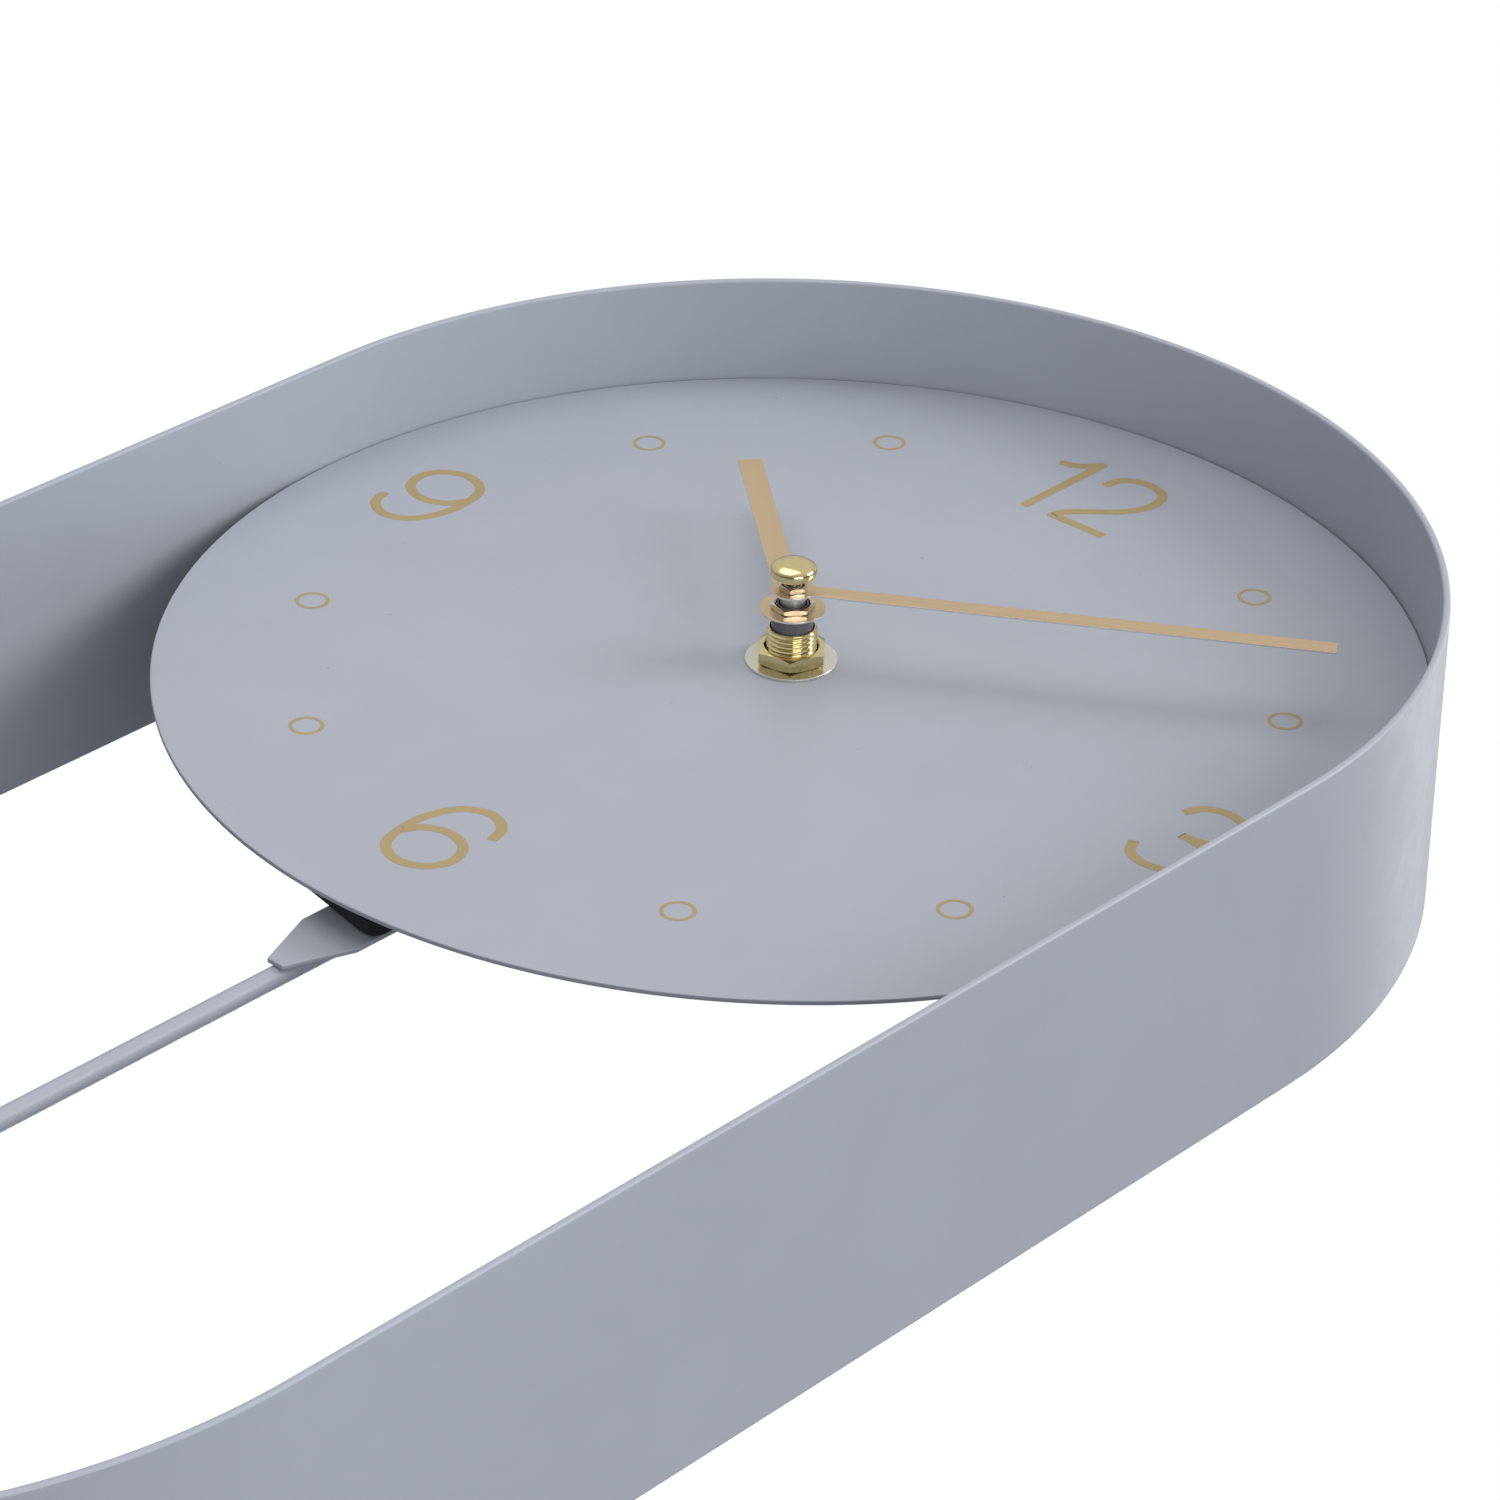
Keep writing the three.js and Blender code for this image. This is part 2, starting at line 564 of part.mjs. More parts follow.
// Turns of the gears about their arbors at rest, each following from the gear that it meshes with.
function gearTurns() {
  const thirdPinion = meshTurn(0, teeth.centreWheel, teeth.thirdPinion, direction.third);
  const secondsPinion = meshTurn(0, teeth.thirdWheel, teeth.secondsPinion, direction.third + 180);
  const intermediatePinion = meshTurn(
    0, teeth.secondsWheel, teeth.intermediatePinion, direction.intermediate,
  );
  const rotorPinion = meshTurn(0, teeth.intermediateWheel, teeth.rotorPinion, direction.rotor);
  const minuteWheel = meshTurn(0, teeth.cannonPinion, teeth.minuteWheel, direction.minute);
  const minutePinion = meshTurn(0, teeth.hourWheel, teeth.minutePinion, direction.minute);
  const knobPinion = meshTurn(minuteWheel, teeth.minuteWheel, teeth.knobPinion, direction.knob);
  return {
    thirdPinion, secondsPinion, intermediatePinion, rotorPinion, minuteWheel, minutePinion, knobPinion,
  };
}

function buildMotionWork(turns) {
  const hourTop = layer.hour + wheelThickness;
  const noseFront = hourTube.front + hourTube.nose;
  const pipe = turned([
    [hourTube.bore, layer.hour], [hourTube.radius, layer.hour], [hourTube.radius, hourTube.front],
    [hourTube.noseRadius, hourTube.front], [hourTube.noseRadius, noseFront], [hourTube.bore, noseFront],
    [hourTube.bore, layer.hour],
  ], 28);
  const hourBore = cylinder(hourTube.bore, layer.hour - 1, hourTop + 1, 28);
  const hourDisc = cut(wheel(teeth.hourWheel, moduleOf.hour, 0, layer.hour), hourBore);
  place('hour_wheel', join(hourDisc, pipe), finish.darkGrey);

  const minuteBore = cylinder(arbor.radius + RUNNING, layer.minute - 1, 0, 12);
  const minuteDisc = wheel(teeth.minuteWheel, moduleOf.cannon, turns.minuteWheel, layer.minute);
  const minuteLeaf = pinion(teeth.minutePinion, moduleOf.hour, turns.minutePinion, layer.hour);
  const spacer = cylinder(arbor.hub, layer.minute, layer.hour, 12);
  place('minute_wheel', cut(join(minuteDisc, minuteLeaf, spacer), minuteBore), finish.white, minuteAt);

  const pinionTop = layer.hour - CLEARANCE;
  const noseTop = minuteArbor.front + minuteArbor.nose;
  const hubRadius = minuteArbor.bore + minuteArbor.hubWall;
  const clutchBack = layer.centre - CLEARANCE;
  const pipeFront = turned([
    [0, pinionTop], [minuteArbor.radius, pinionTop], [minuteArbor.radius, minuteArbor.front],
    [minuteArbor.noseRadius, minuteArbor.front], [minuteArbor.noseRadius, noseTop], [0, noseTop],
  ], 24);
  const cannonBack = layer.minute - pinionOverhang;
  const leaves = slab(gearShape(teeth.cannonPinion, moduleOf.cannon, 0, 3), cannonBack, pinionTop);
  const hub = cylinder(hubRadius, clutchBack, cannonBack, 24);
  const secondsBore = cylinder(minuteArbor.bore, clutchBack - 1, noseTop + 1, 24);
  place('cannon_pinion', cut(join(pipeFront, leaves, hub), secondsBore), finish.steel);
  const centreDisc = wheel(teeth.centreWheel, moduleOf.third, 0, layer.centre);
  const hubHole = cylinder(hubRadius + CLEARANCE, layer.centre - 1, layer.centre + 2, 24);
  place('centre_wheel', cut(centreDisc, hubHole), finish.white);
}

function buildGoingTrain(turns) {
  const third = join(
    arborShaft(), wheel(teeth.thirdWheel, moduleOf.seconds, 0, layer.third),
    pinion(teeth.thirdPinion, moduleOf.third, turns.thirdPinion, layer.centre),
  );
  place('third_wheel', third, finish.white, thirdAt);

  const backShoulder = bridgeBack + bridge.thickness + CLEARANCE;
  const noseTop = secondsArbor.front + secondsArbor.nose;
  const thinTop = layer.third + wheelThickness + pinionOverhang;
  const shaft = turned([
    [0, bridgeBack], [arbor.pivotRadius, bridgeBack], [arbor.pivotRadius, backShoulder],
    [secondsArbor.thinRadius, backShoulder], [secondsArbor.thinRadius, thinTop],
    [secondsArbor.radius, thinTop], [secondsArbor.radius, secondsArbor.front],
    [secondsArbor.noseRadius, secondsArbor.front],
    [secondsArbor.noseRadius, noseTop], [0, noseTop],
  ], 16);
  const seconds = join(
    shaft, wheel(teeth.secondsWheel, moduleOf.intermediate, 0, layer.seconds),
    pinion(teeth.secondsPinion, moduleOf.seconds, turns.secondsPinion, layer.third),
  );
  place('seconds_wheel', seconds, finish.steel);

  const intermediate = join(
    arborShaft(), wheel(teeth.intermediateWheel, moduleOf.rotor, 0, layer.intermediate),
    pinion(teeth.intermediatePinion, moduleOf.intermediate, turns.intermediatePinion, layer.seconds),
  );
  place('intermediate_wheel', intermediate, finish.white, intermediateAt);

  const rotorLeaves = pinion(teeth.rotorPinion, moduleOf.rotor, turns.rotorPinion, layer.intermediate);
  place('rotor_pinion', join(arborShaft(), rotorLeaves), finish.white, rotorAt);
  const middle = (statorFront + statorBack) / 2;
  const magnet = slab(
    ring(rotorMagnet.radius, arbor.radius + CLEARANCE),
    middle - rotorMagnet.halfLength, middle + rotorMagnet.halfLength, 24,
  );
  place('rotor_magnet', magnet, finish.magnet, rotorAt);
}

function buildBridge() {
  const hole = arbor.pivotRadius + RUNNING;
  const outline = withHoles(
    roundedBox(bridge.left, bridge.right, bridgeBottom, bridge.top, 2),
    ...[centre, thirdAt, intermediateAt, rotorAt].map((at) => circle(hole, at)),
    circle(knob.shaftRadius + RUNNING, knobAt),
  );
  const front = bridgeBack + bridge.thickness;
  const posts = [bridge.left + bridge.postInset, bridge.right - bridge.postInset].map((x) => cylinder(
    bridge.postRadius, bridgeBack, caseInside - CLEARANCE, 12,
  ).translate(x, bridgeBottom + bridge.postInset, 0));
  place('train_bridge', join(slab(outline, bridgeBack, front, 12), ...posts), finish.white);
}

function buildKnob(turns) {
  const back = coverBack - knob.gap;
  const points = [];
  for (let i = 0; i < 2 * knob.ridges; i += 1) {
    points.push(polar(centre, knob.radius - (i % 2) * knob.ridge, 180 * i / knob.ridges));
  }
  const grip = slab(new THREE.Shape(points), back - knob.height, back);
  const shaft = cylinder(knob.shaftRadius, back - 1, layer.minute, 16);
  const pivot = cylinder(arbor.pivotRadius, layer.minute, caseInside - CLEARANCE, 12);
  const leaves = pinion(teeth.knobPinion, moduleOf.cannon, turns.knobPinion, layer.minute);
  place('setting_knob', join(grip, shaft, pivot, leaves), finish.darkGrey, knobAt);
}

// ---------------------------------------------------------------- hands and cap

// A straight hand with a round hub and a square end, pointing along +y.
function handShape({ hubRadius, width, length }, bore) {
  const half = width / 2;
  const start = Math.asin(half / hubRadius);
  const shape = new THREE.Shape();
  shape.moveTo(half, length);
  shape.lineTo(-half, length);
  shape.absarc(0, 0, hubRadius, Math.PI / 2 + start, 2.5 * Math.PI - start);
  return withHoles(shape.closePath(), circle(bore));
}

function buildHands() {
  const sets = [
    ['hour', hourHand, hourTube],
    ['minute', minuteHand, minuteArbor],
  ];
  for (const [name, hand, pipe] of sets) {
    const bore = pipe.noseRadius + CLEARANCE;
    const turn = -THREE.MathUtils.degToRad(hand.angle);
    const front = pipe.front + hand.thickness;
    const blade = slab(handShape(hand, bore), pipe.front, front, 36).rotateZ(turn);
    place(`${name}_hand`, blade, finish.gold);
    const collar = withHoles(hexagon(2 * (bore + collet.wall)), circle(bore));
    place(`${name}_collet`, slab(collar, front, front + collet.height, 24).rotateZ(turn), finish.brass);
  }
  const back = secondsArbor.front + CLEARANCE;
  const under = back + cap.stem;
  const rim = under + cap.edge;
  const top = rim + cap.dome;
  const bore = secondsArbor.noseRadius + CLEARANCE;
  const stemRadius = bore + cap.stemWall;
  const boreTop = secondsArbor.front + secondsArbor.nose + CLEARANCE;
  place('centre_cap', turned([
    [0, boreTop], [bore, boreTop], [bore, back], [stemRadius, back], [stemRadius, under],
    [cap.radius * 0.8, under], [cap.radius, under + 0.4 * cap.edge], [cap.radius, rim],
    [cap.radius * 0.9, rim + cap.dome * 0.45], [cap.radius * 0.6, rim + cap.dome * 0.85], [0, top],
  ], 28), finish.brass);
}

// ---------------------------------------------------------------- pendulum drive

function buildDriveHousing() {
  const half = caseHalfWidth;
  const shell = tray(
    -half, half, driveBottom, driveTop, drive.corner, drive.wall, driveFront, driveCoverFront,
  );
  const swing = THREE.MathUtils.degToRad(lever.swing);
  const reach = leverPivot - driveBottom;
  const slotHalf = reach * Math.tan(swing) + lever.neck / Math.cos(swing) + 2 * CLEARANCE;
  const slot = block(
    -slotHalf, slotHalf, driveBottom - 1, driveBottom + drive.wall + 1, leverBack - 1, leverFront + CLEARANCE,
  );
  const inWall = drive.wall / 2;
  const shelf = block(
    inWall - half, half - inWall, shelfTop - drive.shelf, shelfTop, driveCoverFront, driveFront - inWall,
  );
  const pinHole = cylinder(lever.pinRadius + CLEARANCE, driveInside - 1, driveFront + 1, 16);
  place('drive_housing', cut(join(shell, shelf), slot, pinHole.translate(0, leverPivot, 0)), finish.black);

  const lid = roundedBox(-half, half, driveBottom, driveTop, drive.corner);
  const cover = slab(withHoles(lid, bayOpening(driveBatteryY)), driveCoverBack, driveCoverFront, 12);
  place('drive_cover', cover, finish.black);

  const pad = roundedBox(
    -half + drive.padInset, half - drive.padInset,
    driveBottom + drive.padInset, driveTop - drive.padInset, drive.corner,
  );
  const pinGap = circle(2 * lever.pinRadius, new THREE.Vector2(0, leverPivot));
  place('drive_pad', slab(withHoles(pad, pinGap), driveFront, dialBack, 12), finish.rubber);
}

function buildDriveMotor() {
  const pin = cylinder(lever.pinRadius, driveCoverFront + CLEARANCE, driveFront - CLEARANCE, 16);
  place('lever_pin', pin.translate(0, leverPivot, 0), finish.steel);
  const coilFront = leverBack - leverMagnet.height - driveCoil.gap;
  const coilBack = coilFront - driveCoil.height;
  const at = new THREE.Vector2(0, magnetY);
  const winding = slab(ring(driveCoil.radius, driveCoil.core + CLEARANCE), coilBack, coilFront, 28);
  place('drive_coil', winding, finish.copper, at);
  place('drive_core', cylinder(driveCoil.core, coilBack, coilFront, 20), finish.steel, at);
  const bottom = driveBottom + driveBoard.rise;
  place('drive_board', block(
    driveBoard.left, driveBoard.left + driveBoard.width, bottom, bottom + driveBoard.height,
    coilBack, coilBack + driveBoard.thickness,
  ), finish.board);
}

// The swing lever: a hub on its pin, a neck that leaves the housing, and a paddle with a slanted lower edge.
function leverShape() {
  const start = Math.asin(lever.neck / leverHub);
  const shoulder = driveBottom - lever.shoulderDrop;
  const leftCorner = edge + lever.leftAboveEdge;
  const rightCorner = edge + lever.rightAboveEdge;
  const slope = (rightCorner - leftCorner) / (lever.right - lever.left);
  const flatEnd = lever.right - lever.rounding;
  const shape = new THREE.Shape();
  shape.absarc(0, leverPivot, leverHub, -Math.PI / 2 + start, 1.5 * Math.PI - start);
  shape.lineTo(-lever.neck, shoulder);
  shape.lineTo(lever.left, shoulder - 1);
  shape.lineTo(lever.left, leftCorner);
  shape.lineTo(flatEnd, leftCorner + slope * (flatEnd - lever.left));
  shape.quadraticCurveTo(lever.right, rightCorner, lever.right, rightCorner + lever.rounding);
  shape.lineTo(lever.right, shoulder - 1);
  shape.lineTo(lever.neck, shoulder);
  return withHoles(
    shape.closePath(),
    circle(lever.pinRadius + RUNNING, new THREE.Vector2(0, leverPivot)),
    circle(hook.radius + CLEARANCE, new THREE.Vector2(0, hookY)),
  );
}

function buildLever() {
  place('swing_lever', slab(leverShape(), leverBack, leverFront, 16), finish.black);
  const magnet = cylinder(leverMagnet.radius, leverBack - leverMagnet.height, leverBack, 20);
  place('lever_magnet', magnet, finish.magnet, new THREE.Vector2(0, magnetY));
  const headFront = leverBack - plate.gap - plate.thickness - hook.play;
  place('hook_pin', turned([
    [0, headFront - hook.head], [hook.headRadius, headFront - hook.head], [hook.headRadius, headFront],
    [hook.radius, headFront], [hook.radius, leverFront - CLEARANCE], [0, leverFront - CLEARANCE],
  ], 20), finish.steel, new THREE.Vector2(0, hookY));
}

// ---------------------------------------------------------------- pendulum

function buildPendulum() {
  const front = leverBack - plate.gap;
  const back = front - plate.thickness;
  const shoulder = edge - plate.shoulderDrop;
  const tip = edge - plate.tipDrop;
  const top = hookY + plate.above;
  const outline = new THREE.Shape([
    [plate.halfWidth, top], [-plate.halfWidth, top], [-plate.halfWidth, shoulder], [-plate.tipHalfWidth, tip],
    [plate.tipHalfWidth, tip], [plate.halfWidth, shoulder],
  ].map(([x, y]) => new THREE.Vector2(x, y)));
  withHoles(outline, circle(hook.radius + CLEARANCE, new THREE.Vector2(0, hookY)));
  place('pendulum_plate', slab(outline, back, front, 20), finish.enamel);

  const rodZ = back - rod.radius - rod.gap;
  const rodTop = edge + rod.aboveEdge;
  const rodBottom = bobY - clip.halfHeight - clip.rodEnd;
  const bar = cylinder(rod.radius, 0, rodTop - rodBottom, 20).rotateX(-Math.PI / 2);
  place('pendulum_rod', bar.translate(0, rodBottom, rodZ), finish.enamel);
  const disc = slab(circle(bob.radius), back, back + bob.thickness, 64);
  place('pendulum_bob', disc, finish.enamel, new THREE.Vector2(0, bobY));

  const grooveRadius = rod.radius + CLEARANCE;
  const saddle = block(
    -clip.halfWidth, clip.halfWidth, bobY - clip.halfHeight, bobY + clip.halfHeight,
    rodZ - grooveRadius - clip.wall, back,
  );
  const groove = new THREE.Shape();
  groove.absarc(0, -rodZ, grooveRadius, 0, Math.PI);
  groove.lineTo(-grooveRadius, -back - 1);
  groove.lineTo(grooveRadius, -back - 1);
  const length = 4 * clip.halfHeight;
  const channel = slab(groove.closePath(), 0, length, 20).rotateX(-Math.PI / 2);
  channel.translate(0, bobY - length / 2, 0);
  place('bob_clip', cut(saddle, channel), finish.steel);
}

// ---------------------------------------------------------------- build

buildCase();
buildFixings();
buildMovementCase();
buildBattery('', bayY, coverFront);
buildMotor();
buildElectronics();
const turns = gearTurns();
buildMotionWork(turns);
buildGoingTrain(turns);
buildBridge();
buildKnob(turns);
buildHands();
buildDriveHousing();
buildBattery('drive_', driveBatteryY, driveCoverFront);
buildDriveMotor();
buildLever();
buildPendulum();

export default clock;
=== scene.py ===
"""Looks of a pendulum wall clock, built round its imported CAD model.

Shapes are drawn in the dial's frame, in millimetres: x to the right, y up, z out of the dial, with the
origin at the centre of the dial's front face. DIAL_FRAME carries that frame into the row frame, in metres.
"""

import json
import math

import bmesh
import bpy
from mathutils import Matrix, Vector


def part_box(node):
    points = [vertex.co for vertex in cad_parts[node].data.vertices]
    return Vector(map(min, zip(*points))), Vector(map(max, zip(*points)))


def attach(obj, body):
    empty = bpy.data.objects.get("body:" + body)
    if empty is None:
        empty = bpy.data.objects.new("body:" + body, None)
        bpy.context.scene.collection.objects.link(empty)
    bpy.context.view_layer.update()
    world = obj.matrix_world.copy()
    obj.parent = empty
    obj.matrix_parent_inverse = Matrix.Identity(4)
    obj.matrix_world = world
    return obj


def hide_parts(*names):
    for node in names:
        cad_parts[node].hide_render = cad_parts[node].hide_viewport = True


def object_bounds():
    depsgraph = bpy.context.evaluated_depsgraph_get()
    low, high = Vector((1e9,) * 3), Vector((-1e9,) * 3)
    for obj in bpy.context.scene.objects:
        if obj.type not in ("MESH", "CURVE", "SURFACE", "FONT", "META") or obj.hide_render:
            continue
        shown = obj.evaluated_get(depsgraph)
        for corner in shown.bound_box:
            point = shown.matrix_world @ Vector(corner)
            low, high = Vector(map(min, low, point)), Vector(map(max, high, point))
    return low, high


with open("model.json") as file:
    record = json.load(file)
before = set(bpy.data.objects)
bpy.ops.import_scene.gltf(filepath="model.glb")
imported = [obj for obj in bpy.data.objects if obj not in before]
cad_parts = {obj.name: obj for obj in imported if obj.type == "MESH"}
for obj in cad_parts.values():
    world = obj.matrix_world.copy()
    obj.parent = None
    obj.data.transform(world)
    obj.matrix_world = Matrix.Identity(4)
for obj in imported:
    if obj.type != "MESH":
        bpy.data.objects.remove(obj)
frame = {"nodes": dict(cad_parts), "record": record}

cad_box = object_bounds()

# ---------------------------------------------------------------- the dial's frame

MM = 0.001
dial_low, dial_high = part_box("dial")
DIAL_CENTRE = Vector(((dial_low.x + dial_high.x) / 2, dial_low.y, (dial_low.z + dial_high.z) / 2))
DIAL_FRAME = Matrix.Translation(DIAL_CENTRE) @ Matrix.Rotation(math.pi / 2, 4, "X") @ Matrix.Scale(MM, 4)


def extent(node):
    """Lowest and highest corner of a CAD node in the dial's frame."""
    corners = [DIAL_FRAME.inverted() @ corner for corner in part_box(node)]
    return Vector(map(min, *corners)), Vector(map(max, *corners))


DIAL_RADIUS = extent("dial")[1].x
DIAL_GAP = 0.3  # between the dial's edge and the band
WASHER_RIM = 3.8  # width of the fixing washer's ring
HOUR_ANGLE = math.radians(309.9)
MINUTE_ANGLE = math.radians(58.5)
HOUR_BORE = 3.4
MINUTE_BORE = 2.1
SHARP_ANGLE = math.radians(32)

# ---------------------------------------------------------------- camera and light


def photo_camera():
    """A long lens that looks up at the clock from its lower right, rolled to the photograph's horizon."""
    aim = Vector((0.01796, -0.041, -0.13136))
    distance = 1.09764
    azimuth, elevation, roll = (math.radians(angle) for angle in (49.432, -40.220, 62.313))
    back = Vector((
        math.sin(azimuth) * math.cos(elevation),
        -math.cos(azimuth) * math.cos(elevation),
        math.sin(elevation),
    ))
    level_right = (-back).cross(Vector((0, 0, 1))).normalized()
    level_up = level_right.cross(-back)
    right = level_right * math.cos(roll) + level_up * math.sin(roll)
    up = level_up * math.cos(roll) - level_right * math.sin(roll)
    camera = bpy.data.objects.new("camera", bpy.data.cameras.new("camera"))
    camera.data.lens = 140.377
    camera.data.sensor_width = 36
    axes = Matrix((right, up, back)).transposed().to_4x4()
    camera.matrix_world = Matrix.Translation(aim + back * distance) @ axes
    bpy.context.scene.collection.objects.link(camera)
    bpy.context.scene.camera = camera
    return right, up, back


def softbox(name, direction, distance, size, power, colour=(1, 1, 1)):
    """A square area light that looks at the dial's centre from that direction."""
    light = bpy.data.lights.new(name, "AREA")
    light.shape = "SQUARE"
    light.size = size
    light.energy = power
    light.color = colour
    lamp = bpy.data.objects.new(name, light)
    away = direction.normalized()
    facing = away.to_track_quat("Z", "Y").to_matrix().to_4x4()
    lamp.matrix_world = Matrix.Translation(DIAL_CENTRE + away * distance) @ facing
    bpy.context.scene.collection.objects.link(lamp)


def studio(right, up, back):
    """White surroundings, brightest over the dial, with four softboxes and a weak sun above the clock.
    right, up and back are the camera's own axes, so that the dial is lit as in the photograph."""
    world = bpy.data.worlds.new("studio")
    world.use_nodes = True
    tree = world.node_tree
    background = tree.nodes["Background"]
    path = tree.nodes.new("ShaderNodeLightPath")
    direction = add(tree, "ShaderNodeTexCoord").outputs["Generated"]
    height = add(tree, "ShaderNodeVectorMath", {"operation": "DOT_PRODUCT"})
    tree.links.new(direction, height.inputs[0])
    height.inputs[1].default_value = up
    sky = add(
        tree, "ShaderNodeMapRange", Value=height.outputs["Value"],
        From_Min=-0.1, From_Max=0.8, To_Min=0.11, To_Max=0.66,
    )
    strength = add(tree, "ShaderNodeMapRange", Value=path.outputs["Is Camera Ray"], To_Max=1.0)
    tree.links.new(sky.outputs["Result"], strength.inputs["To Min"])
    tree.links.new(strength.outputs["Result"], background.inputs["Strength"])
    background.inputs["Color"].default_value = (1, 1, 1, 1)
    bpy.context.scene.world = world
    bpy.context.scene.view_settings.view_transform = "Standard"
    bpy.context.scene.view_settings.look = "None"
    over_dial = up * 1.0 - right * 0.2 + back * 0.35
    from_right = right * 1.0 + up * 0.5 + back * 0.2
    from_camera = back * 1.0 + right * 0.45 - up * 0.25
    from_wall = Vector((-0.6, 1, 0.5))
    cool_white = (0.98, 0.99, 1)
    softbox("key_light", over_dial, distance=1.3, size=1.0, power=4.5)
    softbox("side_light", from_right, distance=2.4, size=1.0, power=24)
    softbox("fill_light", from_camera, distance=1.8, size=1.2, power=17.5, colour=cool_white)
    softbox("rear_light", from_wall, distance=1.8, size=1.2, power=14)
    overhead = bpy.data.lights.new("overhead_light", "SUN")
    overhead.energy = 0.65
    overhead.angle = 0.7
    lamp = bpy.data.objects.new("overhead_light", overhead)
    lamp.matrix_world = Vector((0, 0.25, 1)).to_track_quat("Z", "Y").to_matrix().to_4x4()
    bpy.context.scene.collection.objects.link(lamp)


def pale_floor():
    """A wide floor below the clock, with faint cloudy shading. It glows a little, to stay pale in weak
    light, and throws no light back on the clock."""
    half = 60.0
    drop = 1.0
    glow = 0.27
    height = cad_box[0].z - drop
    mesh = bpy.data.meshes.new("floor")
    corners = [(-half, -half, height), (half, -half, height), (half, half, height), (-half, half, height)]
    mesh.from_pydata(corners, [], [(0, 1, 2, 3)])
    floor = bpy.data.objects.new("floor", mesh)
    bpy.context.scene.collection.objects.link(floor)
    floor.visible_diffuse = False
    floor.visible_glossy = False
    paint = surface("floor_paint", (0.93, 0.93, 0.92), 0.8, mottle=(0.4, 0.01))
    shader = shader_of(paint)[1]
    shader.inputs["Emission Color"].default_value = (1, 1, 1, 1)
    shader.inputs["Emission Strength"].default_value = glow
    floor.data.materials.append(paint)


# ---------------------------------------------------------------- materials


def add(tree, kind, settings=None, **inputs):
    """A new node. Each input is a value or an output socket, named with _ for each space."""
    made = tree.nodes.new(kind)
    for key, value in (settings or {}).items():
        setattr(made, key, value)
    for key, value in inputs.items():
        socket = made.inputs[key.replace("_", " ")]
        if isinstance(value, bpy.types.NodeSocket):
            tree.links.new(value, socket)
        else:
            socket.default_value = value
    return made


def place_in(tree, stretch=(1, 1, 1), turn=0.0):
    """The piece's own coordinates in metres, turned about the dial's axis and stretched."""
    coords = add(tree, "ShaderNodeTexCoord").outputs["Object"]
    turned = add(tree, "ShaderNodeMapping", Vector=coords, Rotation=(0, turn, 0))
    return add(tree, "ShaderNodeMapping", Vector=turned.outputs["Vector"], Scale=stretch).outputs["Vector"]


def noise(tree, scale, detail=2.0, stretch=(1, 1, 1), turn=0.0):
    where = place_in(tree, stretch, turn)
    return add(tree, "ShaderNodeTexNoise", Vector=where, Scale=scale, Detail=detail).outputs["Fac"]


def spread(tree, value, low, high):
    """Maps noise, which mostly lies between 0.3 and 0.7, to low .. high."""
    return add(
        tree, "ShaderNodeMapRange", Value=value, From_Min=0.3, From_Max=0.7, To_Min=low, To_Max=high,
    ).outputs["Result"]


def mix(tree, share, first, second):
    mixer = add(tree, "ShaderNodeMix", {"data_type": "RGBA"})
    for index, value in ((0, share), (6, first), (7, second)):
        if isinstance(value, bpy.types.NodeSocket):
            tree.links.new(value, mixer.inputs[index])
        elif index == 0:
            mixer.inputs[index].default_value = value
        else:
            mixer.inputs[index].default_value = (*value, 1)
    return mixer.outputs[2]


def relieve(tree, shader, height, depth):
    """Adds a relief of that depth in metres over what the shader has already."""
    bump = add(tree, "ShaderNodeBump", Height=height, Distance=depth, Strength=1.0)
    earlier = shader.inputs["Normal"].links
    if earlier:
        tree.links.new(earlier[0].from_socket, bump.inputs["Normal"])
    tree.links.new(bump.outputs["Normal"], shader.inputs["Normal"])


def surface(
    name, colour, roughness, metallic=0.0, mottle=(60, 0.03), sheen=(90, 0.04), grain=(), stretch=(1, 1, 1),
    turn=0.0, specular=0.5,
):
    """A material. mottle is (scale, share) of the colour's change, sheen is (scale, amount) of the
    roughness's change, and grain holds (scale, depth in metres) pairs of relief."""
    material = bpy.data.materials.new(name)
    material.use_nodes = True
    tree = material.node_tree
    shader = tree.nodes["Principled BSDF"]
    shader.inputs["Metallic"].default_value = metallic
    shader.inputs["Specular IOR Level"].default_value = specular
    darker = tuple(channel * (1 - mottle[1]) for channel in colour)
    lighter = tuple(min(1, channel * (1 + mottle[1])) for channel in colour)
    share = spread(tree, noise(tree, mottle[0], 4, stretch, turn), 0, 1)
    tree.links.new(mix(tree, share, darker, lighter), shader.inputs["Base Color"])
    gloss = spread(tree, noise(tree, sheen[0], 3, stretch, turn), roughness - sheen[1], roughness + sheen[1])
    tree.links.new(gloss, shader.inputs["Roughness"])
    for scale, depth in grain:
        relieve(tree, shader, noise(tree, scale, 2, stretch, turn), depth)
    return material


def shader_of(material):
    return material.node_tree, material.node_tree.nodes["Principled BSDF"]


def recolour(material, share, colour):
    """Blends colour into the base colour where share is 1."""
    tree, shader = shader_of(material)
    base = shader.inputs["Base Color"].links[0].from_socket
    tree.links.new(mix(tree, share, base, colour), shader.inputs["Base Color"])


